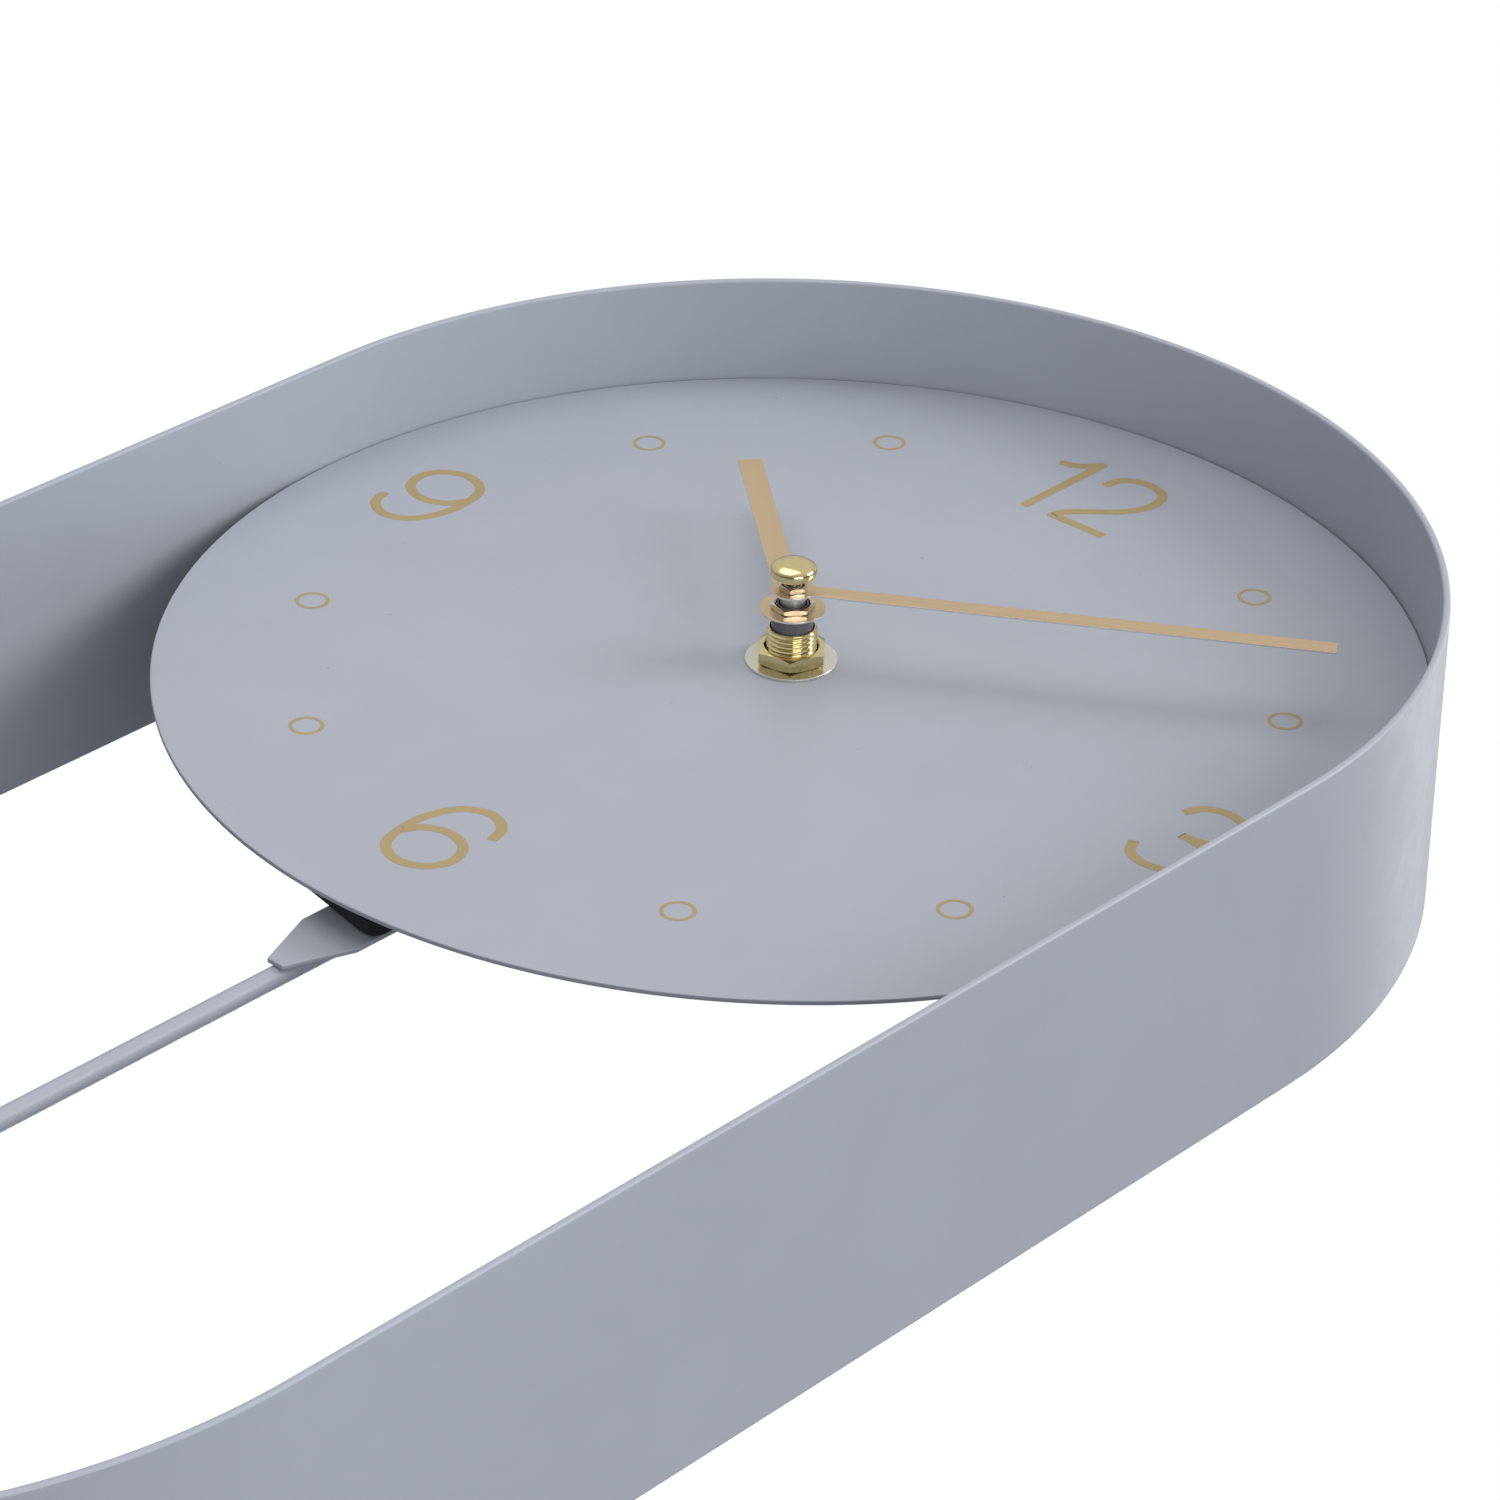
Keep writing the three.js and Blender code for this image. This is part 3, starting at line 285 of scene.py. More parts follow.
def powder_coat():
    """Grey-blue matt enamel with an orange-peel skin, fine grain and a few dark pits."""
    material = surface(
        "powder_coat", (0.40, 0.428, 0.49), 0.44, mottle=(35, 0.02), sheen=(220, 0.05),
        grain=((260, 0.00002), (900, 0.000008), (1800, 0.000004)),
    )
    pitted_share = 0.3
    pit_colour = (0.24, 0.26, 0.31)
    tree, shader = shader_of(material)
    cells = add(tree, "ShaderNodeTexVoronoi", Vector=place_in(tree), Scale=95.0)
    near = add(tree, "ShaderNodeMapRange", Value=cells.outputs["Distance"], From_Min=0.03, From_Max=0.012)
    chosen = add(tree, "ShaderNodeMath", {"operation": "LESS_THAN"})
    tree.links.new(cells.outputs["Color"], chosen.inputs[0])
    chosen.inputs[1].default_value = pitted_share
    pit = add(tree, "ShaderNodeMath", {"operation": "MULTIPLY"})
    tree.links.new(near.outputs["Result"], pit.inputs[0])
    tree.links.new(chosen.outputs["Value"], pit.inputs[1])
    recolour(material, pit.outputs["Value"], pit_colour)
    shader.inputs["Coat Weight"].default_value = 0.05
    shader.inputs["Coat Roughness"].default_value = 0.35
    return material


def brushed(name, colour, roughness, stretch, turn=0.0, metallic=0.9):
    """Metal with fine lines along the short axis of stretch."""
    return surface(
        name, colour, roughness, metallic, mottle=(300, 0.06), sheen=(500, 0.08),
        grain=((900, 0.000004),), stretch=stretch, turn=turn,
    )


def turned_metal(name, colour, roughness, pitch, depth):
    """Metal with lathe rings about the dial's axis."""
    material = surface(name, colour, roughness, 1.0, mottle=(200, 0.05), sheen=(400, 0.05))
    tree, shader = shader_of(material)
    coords = add(tree, "ShaderNodeTexCoord").outputs["Object"]
    flat = add(
        tree, "ShaderNodeMapping", Vector=coords,
        Location=(-DIAL_CENTRE.x, 0, -DIAL_CENTRE.z), Scale=(1, 0, 1),
    )
    reach = add(tree, "ShaderNodeVectorMath", {"operation": "LENGTH"})
    tree.links.new(flat.outputs["Vector"], reach.inputs[0])
    rings = add(
        tree, "ShaderNodeTexNoise", {"noise_dimensions": "1D"}, W=reach.outputs["Value"], Scale=1 / pitch,
    )
    relieve(tree, shader, rings.outputs["Fac"], depth)
    return material


def moulded(name, colour, roughness, depth=0.00001, scale=1400):
    """Moulded plastic with an even spark-eroded skin."""
    return surface(
        name, colour, roughness, mottle=(40, 0.05), sheen=(160, 0.06),
        grain=((scale, depth), (120, 0.00001)), specular=0.45,
    )


def wound_wire():
    """Enamelled copper wire, seen as fine turns that follow each other across the clock, with painted shade
    darkening the grooves between the turns.
    """
    material = surface(
        "copper_wire", (0.46, 0.16, 0.05), 0.33, 0.85, mottle=(500, 0.12), sheen=(300, 0.08),
    )
    groove_depth = 0.00006
    groove_shade_colour = (0.18, 0.05, 0.02)
    tree, shader = shader_of(material)
    wave = add(
        tree, "ShaderNodeTexWave", {"bands_direction": "X"},
        Vector=place_in(tree), Scale=1600.0, Distortion=0.4,
    )
    relieve(tree, shader, wave.outputs["Fac"], groove_depth)
    # painted shade: the colour is darkened in the grooves between the turns, where shade falls between the
    # round wires
    recolour(material, spread(tree, wave.outputs["Fac"], 0.35, 0), groove_shade_colour)
    return material


def solder_mask():
    """Green lacquer over copper tracks."""
    material = surface("solder_mask", (0.02, 0.13, 0.045), 0.28, mottle=(90, 0.1), sheen=(60, 0.05))
    track_colour = (0.05, 0.24, 0.09)
    track_height = 0.00003
    tree, shader = shader_of(material)
    bricks = add(tree, "ShaderNodeTexBrick", Vector=place_in(tree, turn=math.pi / 4), Scale=420.0)
    bricks.inputs["Mortar Size"].default_value = 0.06
    tracks = bricks.outputs["Fac"]
    recolour(material, tracks, track_colour)
    relieve(tree, shader, tracks, track_height)
    return material


def cell_sleeve():
    """A printed sleeve in two plain tones, with bare metal at both ends."""
    material = surface("cell_sleeve", (0.045, 0.05, 0.06), 0.3, 0.1, mottle=(30, 0.05), sheen=(40, 0.05))
    bronze_from = 0.0118
    bronze_full = 0.0121
    bare_length = 0.0015
    fade = 0.0001
    bronze = (0.44, 0.25, 0.12)
    bare_metal = (0.6, 0.6, 0.58)
    tree, shader = shader_of(material)
    coords = add(tree, "ShaderNodeTexCoord").outputs["Object"]
    along = add(tree, "ShaderNodeSeparateXYZ", Vector=coords).outputs["X"]
    band = add(tree, "ShaderNodeMapRange", Value=along, From_Min=bronze_from, From_Max=bronze_full)
    recolour(material, band.outputs["Result"], bronze)
    bare_from = extent("battery")[1].x * MM - bare_length
    distance = add(tree, "ShaderNodeMath", {"operation": "ABSOLUTE"})
    tree.links.new(along, distance.inputs[0])
    end = add(
        tree, "ShaderNodeMapRange", Value=distance.outputs["Value"],
        From_Min=bare_from - fade, From_Max=bare_from + fade,
    )
    recolour(material, end.outputs["Result"], bare_metal)
    tree.links.new(end.outputs["Result"], shader.inputs["Metallic"])
    return material


# ---------------------------------------------------------------- meshes


def new_piece(name, mesh, body, look, replaced=(), sharp=32):
    """Takes a mesh in the dial's frame, gives it clean normals and hangs it on its body. Edges of more
    than `sharp` degrees stay sharp."""
    same_point = 0.0004
    shortest_edge = 0.0002
    shape = bmesh.new()
    shape.from_mesh(mesh)
    bmesh.ops.remove_doubles(shape, verts=shape.verts, dist=same_point)
    bmesh.ops.dissolve_degenerate(shape, edges=shape.edges, dist=shortest_edge)
    bmesh.ops.transform(shape, matrix=DIAL_FRAME, verts=shape.verts)
    bmesh.ops.recalc_face_normals(shape, faces=shape.faces)
    for face in shape.faces:
        face.smooth = True
    for edge in shape.edges:
        edge.smooth = len(edge.link_faces) == 2 and edge.calc_face_angle() < math.radians(sharp)
    shape.to_mesh(mesh)
    shape.free()
    mesh.name = name
    mesh.materials.clear()
    mesh.materials.append(look)
    piece = bpy.data.objects.new(name, mesh)
    bpy.context.scene.collection.objects.link(piece)
    weighted = piece.modifiers.new("weighted_normals", "WEIGHTED_NORMAL")
    weighted.keep_sharp = True
    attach(piece, body)
    if replaced:
        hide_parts(*replaced)
    return piece


def joined(*parts):
    """One mesh of several (vertices, faces) parts."""
    vertices, faces = [], []
    for some_vertices, some_faces in parts:
        start = len(vertices)
        vertices += some_vertices
        faces += [[start + i for i in face] for face in some_faces]
    mesh = bpy.data.meshes.new("shape")
    mesh.from_pydata(vertices, [], faces)
    return mesh


def rounded(points, radius, steps=4):
    """A closed outline with each corner rounded by a curve of about that radius."""
    almost_straight = math.radians(170)
    side_share = 0.49
    result = []
    count = len(points)
    for i, corner in enumerate(points):
        here = Vector(corner)
        before = Vector(points[i - 1]) - here
        after = Vector(points[(i + 1) % count]) - here
        turn = before.angle(after)
        if turn > almost_straight:
            result.append(tuple(here))
            continue
        reach = min(radius / math.tan(turn / 2), before.length * side_share, after.length * side_share)
        first = here + before.normalized() * reach
        last = here + after.normalized() * reach
        for step in range(steps + 1):
            t = step / steps
            result.append(tuple(first * (1 - t) ** 2 + here * 2 * t * (1 - t) + last * t ** 2))
    return result


def lathe(profile, segments=96, at=(0, 0), closed=True):
    """A profile of (radius, z) turned about an axis through `at`. An open one starts and ends there."""
    on_axis = 1e-6
    vertices, rows = [], []
    for radius, z in profile:
        if radius < on_axis:
            rows.append([len(vertices)] * segments)
            vertices.append((at[0], at[1], z))
            continue
        rows.append(range(len(vertices), len(vertices) + segments))
        for i in range(segments):
            angle = 2 * math.pi * i / segments
            vertices.append((at[0] + radius * math.cos(angle), at[1] + radius * math.sin(angle), z))
    faces = []
    pairs = list(zip(rows, rows[1:]))
    if closed:
        pairs.append((rows[-1], rows[0]))
    for lower, upper in pairs:
        for i in range(segments):
            j = (i + 1) % segments
            corners = list(dict.fromkeys((lower[i], lower[j], upper[j], upper[i])))
            if len(corners) > 2:
                faces.append(corners)
    return vertices, faces


def sweep(path, section, closed=True):
    """Carries a closed section of (sideways, z) along a flat path of (point, unit sideways direction)."""
    vertices, faces = [], []
    rows = []
    for i, (point, side) in enumerate(path):
        outline = section(i)
        rows.append(range(len(vertices), len(vertices) + len(outline)))
        vertices += [(point.x + side.x * offset, point.y + side.y * offset, z) for offset, z in outline]
    pairs = list(zip(rows, rows[1:]))
    if closed:
        pairs.append((rows[-1], rows[0]))
    for first, second in pairs:
        count = len(first)
        faces += [
            [first[i], first[(i + 1) % count], second[(i + 1) % count], second[i]] for i in range(count)
        ]
    if not closed:
        faces += [list(rows[0]), list(rows[-1])[::-1]]
    return vertices, faces


def arc(radius, start, end, steps, at=(0, 0)):
    """Points of an arc about `at`, from one angle in degrees to another."""
    angles = [math.radians(start + (end - start) * i / steps) for i in range(steps + 1)]
    return [(at[0] + radius * math.cos(a), at[1] + radius * math.sin(a)) for a in angles]


def sheet(outlines, back, front, bevel):
    """A flat sheet with the first outline as its edge and the others as holes. Its edges are rounded."""
    curve = bpy.data.curves.new("outline", "CURVE")
    curve.dimensions = "2D"
    curve.fill_mode = "BOTH"
    for outline in outlines:
        spline = curve.splines.new("POLY")
        spline.points.add(len(outline) - 1)
        for point, (x, y) in zip(spline.points, outline):
            point.co = (x, y, 0, 1)
        spline.use_cyclic_u = True
    curve.extrude = (front - back) / 2 - bevel
    curve.bevel_depth = bevel
    curve.bevel_resolution = 2
    curve.offset = -bevel
    holder = bpy.data.objects.new("outline", curve)
    mesh = bpy.data.meshes.new_from_object(holder)
    mesh.transform(Matrix.Translation((0, 0, (front + back) / 2)))
    bpy.data.objects.remove(holder)
    bpy.data.curves.remove(curve)
    return mesh


def soften(node, bevel, look):
    """Rounds the edges of a CAD node with modifiers and gives it its finish."""
    same_point = 0.000002
    flat_within = math.radians(0.6)
    piece = frame["nodes"][node]
    piece.data.materials.clear()
    piece.data.materials.append(look)
    if bevel:
        weld = piece.modifiers.new("weld", "WELD")
        weld.merge_threshold = same_point
        flat = piece.modifiers.new("flat_faces", "DECIMATE")
        flat.decimate_type = "DISSOLVE"
        flat.angle_limit = flat_within
        edge = piece.modifiers.new("edges", "BEVEL")
        edge.width = bevel * MM
        edge.segments = 2
        edge.limit_method = "ANGLE"
        edge.angle_limit = SHARP_ANGLE
        edge.use_clamp_overlap = True
        weighted = piece.modifiers.new("weighted_normals", "WEIGHTED_NORMAL")
        weighted.keep_sharp = True


# ---------------------------------------------------------------- case


def stadium_path(radius, straight, arc_steps=96, straight_steps=20):
    """The band's outline, anticlockwise, with its outward direction at each point."""
    path = []
    for centre_y, start in ((0, 0), (-straight, 180)):
        for x, y in arc(1, start, start + 180, arc_steps):
            path.append((Vector((x * radius, centre_y + y * radius)), Vector((x, y))))
        side = path[-1][1].copy()
        last = path[-1][0].copy()
        way = -1 if start == 0 else 1
        for i in range(1, straight_steps):
            path.append((last + Vector((0, way * straight * i / straight_steps)), side))
    return path


def build_band(look):
    rim_rounding = 0.6
    low, high = extent("case_band")
    radius = high.x
    straight = high.y - low.y - 2 * radius
    wall = radius - DIAL_RADIUS - DIAL_GAP
    profile = rounded([(0, low.z), (0, high.z), (-wall, high.z), (-wall, low.z)], rim_rounding, 5)
    mesh = joined(sweep(stadium_path(radius, straight), lambda i: profile))
    new_piece("band_shell", mesh, "case", look, ["case_band"])


def build_dial(look):
    edge_rounding = 0.3
    low, high = extent("dial")
    hole = extent("fixing_washer")[1].x - WASHER_RIM
    corners = [(hole, low.z), (high.x, low.z), (high.x, high.z), (hole, high.z)]
    edge = rounded(corners, edge_rounding)
    new_piece("dial_plate", joined(lathe(edge, 256)), "case", look, ["dial"])


def weld_bead(middle, half, front):
    """A rippled bead along the inside of the band, thickest in its middle. middle and half are its place
    and half its length in degrees."""
    radius = DIAL_RADIUS
    size = 2.1
    steps = 36
    ripple_depth = 0.07
    ripple_step = 2.1
    hollow = 0.12
    path = []
    for x, y in arc(1, middle - half, middle + half, steps):
        path.append((Vector((x * radius, y * radius)), Vector((x, y))))

    def section(i):
        t = 2 * i / steps - 1
        swell = math.sqrt(max(0.0, 1 - t ** 4)) * 0.9 + 0.1
        ripple = 1 - ripple_depth + ripple_depth * math.cos(i * ripple_step)
        reach = size * swell * ripple
        corner = [(0, front), (0, front - reach)]
        curve = [
            (-reach * math.sin(a), front - reach * math.cos(a) * (1 - hollow * math.sin(2 * a)))
            for a in (math.pi / 2 * k / 7 for k in range(1, 8))
        ]
        return corner + curve

    return sweep(path, section, closed=False)


def bearing(node):
    """Direction of a node's middle from the dial's centre, in degrees."""
    low, high = extent(node)
    middle = (low + high) / 2
    return math.degrees(math.atan2(middle.y, middle.x))


def build_welds(enamel, steel):
    """Four beads behind the dial's edge, and two in front of the hanger's edge."""
    for i in range(1, 5):
        node = f"dial_weld_{i}"
        bead = weld_bead(bearing(node), 1.15, extent(node)[1].z)
        new_piece(f"dial_bead_{i}", joined(bead), "case", enamel, [node], 60)
    for i in range(1, 3):
        node = f"hanger_weld_{i}"
        low = extent(node)[0]
        vertices, faces = weld_bead(bearing(node), 1.8, 0)
        vertices = [(x, y, low.z - z) for x, y, z in vertices]
        mesh = joined((vertices, faces))
        new_piece(f"hanger_bead_{i}", mesh, "case", steel, [node], 60)


# ---------------------------------------------------------------- dial print

STROKE = 2.1
INK_FRONT = 0.035
INK_BACK = -0.01
INK_RISE = 0.006
INK_STEP = 0.002  # lifts one stroke over another that it crosses


def smooth_line(points, steps=10):
    """Centripetal Catmull-Rom curve through the points."""
    pts = [Vector(p) for p in points]
    pts = [2 * pts[0] - pts[1], *pts, 2 * pts[-1] - pts[-2]]
    line = []
    for p0, p1, p2, p3 in zip(pts, pts[1:], pts[2:], pts[3:]):
        t0 = 0
        t1 = t0 + (p1 - p0).length ** 0.5
        t2 = t1 + (p2 - p1).length ** 0.5
        t3 = t2 + (p3 - p2).length ** 0.5
        for i in range(steps):
            t = t1 + (t2 - t1) * i / steps
            a1 = p0 * ((t1 - t) / (t1 - t0)) + p1 * ((t - t0) / (t1 - t0))
            a2 = p1 * ((t2 - t) / (t2 - t1)) + p2 * ((t - t1) / (t2 - t1))
            a3 = p2 * ((t3 - t) / (t3 - t2)) + p3 * ((t - t2) / (t3 - t2))
            b1 = a1 * ((t2 - t) / (t2 - t0)) + a2 * ((t - t0) / (t2 - t0))
            b2 = a2 * ((t3 - t) / (t3 - t1)) + a3 * ((t - t1) / (t3 - t1))
            line.append(b1 * ((t2 - t) / (t2 - t1)) + b2 * ((t - t1) / (t2 - t1)))
    line.append(pts[-2])
    return line


def ink_stroke(line, lift):
    """A printed line of even width along the points, with slightly rounded ends. It rises as it goes,
    so that a line that crosses itself doesn't lie in its own plane."""
    half = STROKE / 2
    ease = 0.4
    lengths = [0.0]
    for a, b in zip(line, line[1:]):
        lengths.append(lengths[-1] + (b - a).length)
    total = lengths[-1]
    path = []
    for i, point in enumerate(line):
        ahead = line[min(i + 1, len(line) - 1)] - line[max(i - 1, 0)]
        ahead.normalize()
        path.append((point, Vector((-ahead.y, ahead.x))))

    def section(i):
        near = min(lengths[i], total - lengths[i])
        shy = max(0.0, 1 - near / ease)
        width = half - ease * (1 - math.sqrt(max(0.0, 1 - shy ** 2)))
        top = INK_FRONT + lift + INK_RISE * lengths[i] / total
        return [(-width, INK_BACK), (width, INK_BACK), (width, top), (-width, top)]

    return sweep(path, section, closed=False)


def ends_added(line):
    """Adds points close to both ends, where the stroke's end is rounded."""
    reaches = (0, 0.05, 0.15, 0.28, 0.45)

    def dense(a, b):
        way = (b - a).normalized()
        return [a + way * reach for reach in reaches]

    return dense(line[0], line[1]) + list(line[1:-1]) + dense(line[-1], line[-2])[::-1]


def stroke(points, lift=0.0):
    return ink_stroke(ends_added(smooth_line(points)), lift)


def straight_stroke(a, b, lift=0.0):
    return ink_stroke(ends_added([Vector(a), (Vector(a) + Vector(b)) / 2, Vector(b)]), lift)


SIX = [
    (6.75, -88.9), (5.2, -84.6), (0.3, -82.2), (-4.9, -84.4), (-7.9, -90.6), (-8.15, -97.2), (-6.2, -103.2),
    (-0.6, -105.75), (4.9, -103.4), (6.8, -98.9), (4.9, -94.3), (-0.5, -92.35), (-5.6, -94.3), (-7.7, -97.6),
]
THREE = [
    (90.9, 7.6), (92.9, 11.4), (97.7, 13.05), (102.6, 11.2), (104.5, 7.2), (102.7, 2.8), (98.3, 1.0),
    (95.6, 0.95),
]
THREE_LOWER = [
    (97.2, 0.95), (102.8, -0.4), (105.2, -5.2), (103, -9.9), (97.4, -11.75), (92.8, -10.2), (90.8, -6.6),
]
TWO = [
    (-3.9, 99.4), (-2.4, 104.1), (2.6, 106.1), (7.4, 104.4), (8.95, 100.2), (7.9, 95.8), (4.9, 91.6),
    (0.9, 88.0), (-2.2, 84.6), (-3.0, 82.1),
]
ONE_STEM = ((-9.9, 81), (-9.9, 107.0))
TWO_FOOT = ((-4.0, 82.1), (10.3, 82.1))
ONE_FLAG = [(-9.9, 106.2), (-11.6, 103.9), (-14, 102.1), (-17.1, 101.2)]
NINE_CENTRE = Vector((-98.6, -0.6))
SIX_CENTRE = Vector((-0.7, -94.0))


def build_numerals(ink):
    """12, 3, 6 and 9. The 9 is the 6 turned by half a turn."""
    nine = [NINE_CENTRE - (Vector(point) - SIX_CENTRE) for point in SIX]
    strokes = [
        straight_stroke(*ONE_STEM),
        stroke(ONE_FLAG, INK_STEP),
        stroke(TWO),
        straight_stroke(*TWO_FOOT, INK_STEP),
        stroke(THREE),
        stroke(THREE_LOWER, INK_STEP),
        stroke(SIX),
        stroke(nine),
    ]
    new_piece("dial_numerals", joined(*strokes), "case", ink)


def build_markers(ink):
    """A printed ring at each hour without a number."""
    reach = 96
    outer = 3.4
    inner = 2.65
    profile = [(inner, INK_BACK), (outer, INK_BACK), (outer, INK_FRONT), (inner, INK_FRONT)]
    rings = []
    for hour in (1, 2, 4, 5, 7, 8, 10, 11):
        angle = math.radians(90 - 30 * hour)
        at = (reach * math.cos(angle), reach * math.sin(angle))
        rings.append(lathe(profile, 48, at))
    new_piece("dial_markers", joined(*rings), "case", ink)


# ---------------------------------------------------------------- fixings, hands and cap


def hex_nut(bore, across_flats, back, front, turn, chamfer=0.97):
    """A hexagonal nut whose corners are turned off by a cone on both faces. chamfer is the share of the
    flats' reach that the cone leaves flat."""
    half = across_flats / 2
    lip = 0.25
    slope = 0.45
    segments = 96
    vertices, rows = [], []
    for i in range(segments):
        angle = 2 * math.pi * i / segments
        within = (angle + math.pi / 6) % (math.pi / 3) - math.pi / 6
        reach = half / math.cos(math.pi / 6 - abs(within))
        drop = max(0.0, reach - half * chamfer) * slope
        ring = [
            (bore, back + lip), (bore + lip, back), (half * chamfer, back), (reach, back + drop),
            (reach, front - drop), (half * chamfer, front), (bore + lip, front), (bore, front - lip),
        ]
        rows.append(range(len(vertices), len(vertices) + len(ring)))
        cos, sin = math.cos(angle + turn), math.sin(angle + turn)
        vertices += [(radius * cos, radius * sin, z) for radius, z in ring]
    faces = []
    for first, second in zip(rows, [*rows[1:], rows[0]]):
        count = len(first)
        faces += [
            [first[k], first[(k + 1) % count], second[(k + 1) % count], second[k]] for k in range(count)
        ]
    return vertices, faces


def threaded_pipe(bore, radius, back, front, flange_radius, flange_front):
    """A pipe with a flange at its back and a helical thread above the dial."""
    pitch = 1.0
    depth = 0.44
    segments = 72
    rows_per_mm = 16
    start = 0.4
    ease = 0.15
    root = 0.12
    flank = 0.76
    end_chamfer = 0.35
    chamfer_slope = 0.7
    rows = [[(bore, back)] * segments, [(flange_radius - ease, back)] * segments]
    rows += [[(flange_radius, back + ease)] * segments, [(flange_radius, flange_front)] * segments]
    rows += [[(radius, flange_front)] * segments]
    count = round((front - start) * rows_per_mm)
    for k in range(count + 1):
        z = start + (front - start) * k / count
        row = []
        for i in range(segments):
            phase = (z / pitch - i / segments) % 1
            crest = abs(2 * phase - 1)
            shape = min(1.0, max(0.0, (crest - root) / flank))
            fade = min(1.0, (z - start) / pitch, (front - z) / 0.5 + 0.25)
            turned_off = max(0.0, end_chamfer - (front - z)) * chamfer_slope
            row.append((radius - depth * (1 - shape) * fade - turned_off, z))
        rows.append(row)
    rows.append([(bore, front)] * segments)
    vertices, faces = [], []
    for row in rows:
        for i, (reach, z) in enumerate(row):
            angle = 2 * math.pi * i / segments
            vertices.append((reach * math.cos(angle), reach * math.sin(angle), z))
    total = len(rows)
    for r in range(total):
        for i in range(segments):
            j = (i + 1) % segments
            lower, upper = r * segments, (r + 1) % total * segments
            faces.append([lower + i, lower + j, upper + j, upper + i])
    return vertices, faces


def build_fixings(brass, washer_look):
    """The threaded bush, and the washer and nut that hold the movement to the dial."""
    flange_rim = 1.6
    flange = 0.6
    bush_wall = 0.5
    nut_turn = math.radians(10)
    low, high = extent("threaded_bush")
    radius = high.x - flange_rim
    pipe = threaded_pipe(radius - bush_wall, radius, low.z, high.z, high.x, low.z + flange)
    new_piece("threaded_pipe", joined(pipe), "case", brass, ["threaded_bush"], 50)

    low, high = extent("fixing_washer")
    hole = high.x - WASHER_RIM
    ring = rounded([(hole, low.z), (high.x, low.z), (high.x, high.z), (hole, high.z)], 0.18, 3)
    new_piece("dial_washer", joined(lathe(ring, 128)), "case", washer_look, ["fixing_washer"])

    low, high = extent("fixing_nut")
    nut = hex_nut(hole, 2 * high.y, low.z, high.z, nut_turn)
    new_piece("dial_nut", joined(nut), "case", brass, ["fixing_nut"], 25)


def build_collets(nickel):
    """Thin six-sided collets that hold the hands, lined up with them."""
    wall = 0.4
    for name, bore, hand_turn in (("hour", HOUR_BORE, HOUR_ANGLE), ("minute", MINUTE_BORE, MINUTE_ANGLE)):
        low, high = extent(f"{name}_collet")
        nut = hex_nut(bore, 2 * (bore + wall), low.z, high.z, -hand_turn, 0.98)
        new_piece(
            f"{name}_hand_collet", joined(nut), f"{name}_hand", nickel, [f"{name}_collet"], 25,
        )


def hand_outline(hub, half, length, bore, turn):
    """A straight hand with a round hub and a square end, and the hole in its hub, turned clockwise."""
    nick = 0.25
    start = math.degrees(math.asin(half / hub))
    blade = [(half, length - nick), (half - nick, length), (nick - half, length), (-half, length - nick)]
    outline = blade + arc(hub, 90 + start, 450 - start, 72)
    hole = arc(bore, 0, 356, 71)
    cos, sin = math.cos(-turn), math.sin(-turn)
    return [[(x * cos - y * sin, x * sin + y * cos) for x, y in points] for points in (outline, hole)]


def build_hands(looks, cut_edge):
    """Both hands, brushed on their faces and bright on their cut edges."""
    edge_rounding = 0.07
    upright = 0.7
    outlines = {
        "hour": hand_outline(hub=6.35, half=2.45, length=62.8, bore=HOUR_BORE, turn=HOUR_ANGLE),
        "minute": hand_outline(hub=4.3, half=2, length=104.6, bore=MINUTE_BORE, turn=MINUTE_ANGLE),
    }
    for name, outline in outlines.items():
        low, high = extent(f"{name}_hand")
        mesh = sheet(outline, low.z, high.z, edge_rounding)
        blade = new_piece(f"{name}_hand_blade", mesh, f"{name}_hand", looks[name], [f"{name}_hand"])
        blade.data.materials.append(cut_edge)
        for face in blade.data.polygons:
            face.material_index = int(abs(face.normal.y) < upright)


def build_cap(brass):
    """A domed button on a short stem with a bore."""
    low, high = extent("centre_cap")
    radius = high.x
    rim = low.z + 3.0
    dome = [
        (radius * math.cos(a) ** 0.8, rim + (high.z - rim) * math.sin(a))
        for a in (math.pi / 2 * k / 12 for k in range(12))
    ]
    profile = [
        (0, low.z + 2), (1, low.z + 2), (1, low.z), (1.15, low.z), (1.3, low.z + 0.15), (1.3, low.z + 1.35),
        (1.55, low.z + 1.6), (radius * 0.8, low.z + 1.6), (radius * 0.93, low.z + 1.75),
        (radius, low.z + 2.3), *dome, (0, high.z),
    ]
    mesh = joined(lathe(profile, 96, closed=False))
    new_piece("cap_button", mesh, "seconds_arbor", brass, ["centre_cap"], 40)


# ---------------------------------------------------------------- cells, rod and bob


def build_cells(look):
    """Round cells with a crimped shoulder and a raised contact at the positive end."""
    for node in ("battery", "drive_battery"):
        low, high = extent(node)
        middle = (low + high) / 2
        radius = (high.y - low.y) / 2
        half = (high.x - low.x) / 2
        shoulder = half - 1
        profile = [
            (0, -half + 0.2), (radius * 0.6, -half + 0.2), (radius * 0.68, -half), (radius * 0.9, -half),
            (radius, -half + 0.5), (radius, shoulder - 0.7), (radius * 0.95, shoulder - 0.15),
            (radius * 0.86, shoulder), (radius * 0.8, shoulder - 0.25), (3, shoulder - 0.25),
            (2.75, shoulder), (2.7, half - 0.25), (2.4, half), (0, half),
        ]
        vertices, faces = lathe(profile, 64, closed=False)
        vertices = [(z + middle.x, y + middle.y, -x + middle.z) for x, y, z in vertices]
        new_piece(f"{node}_cell", joined((vertices, faces)), "case", look, [node])


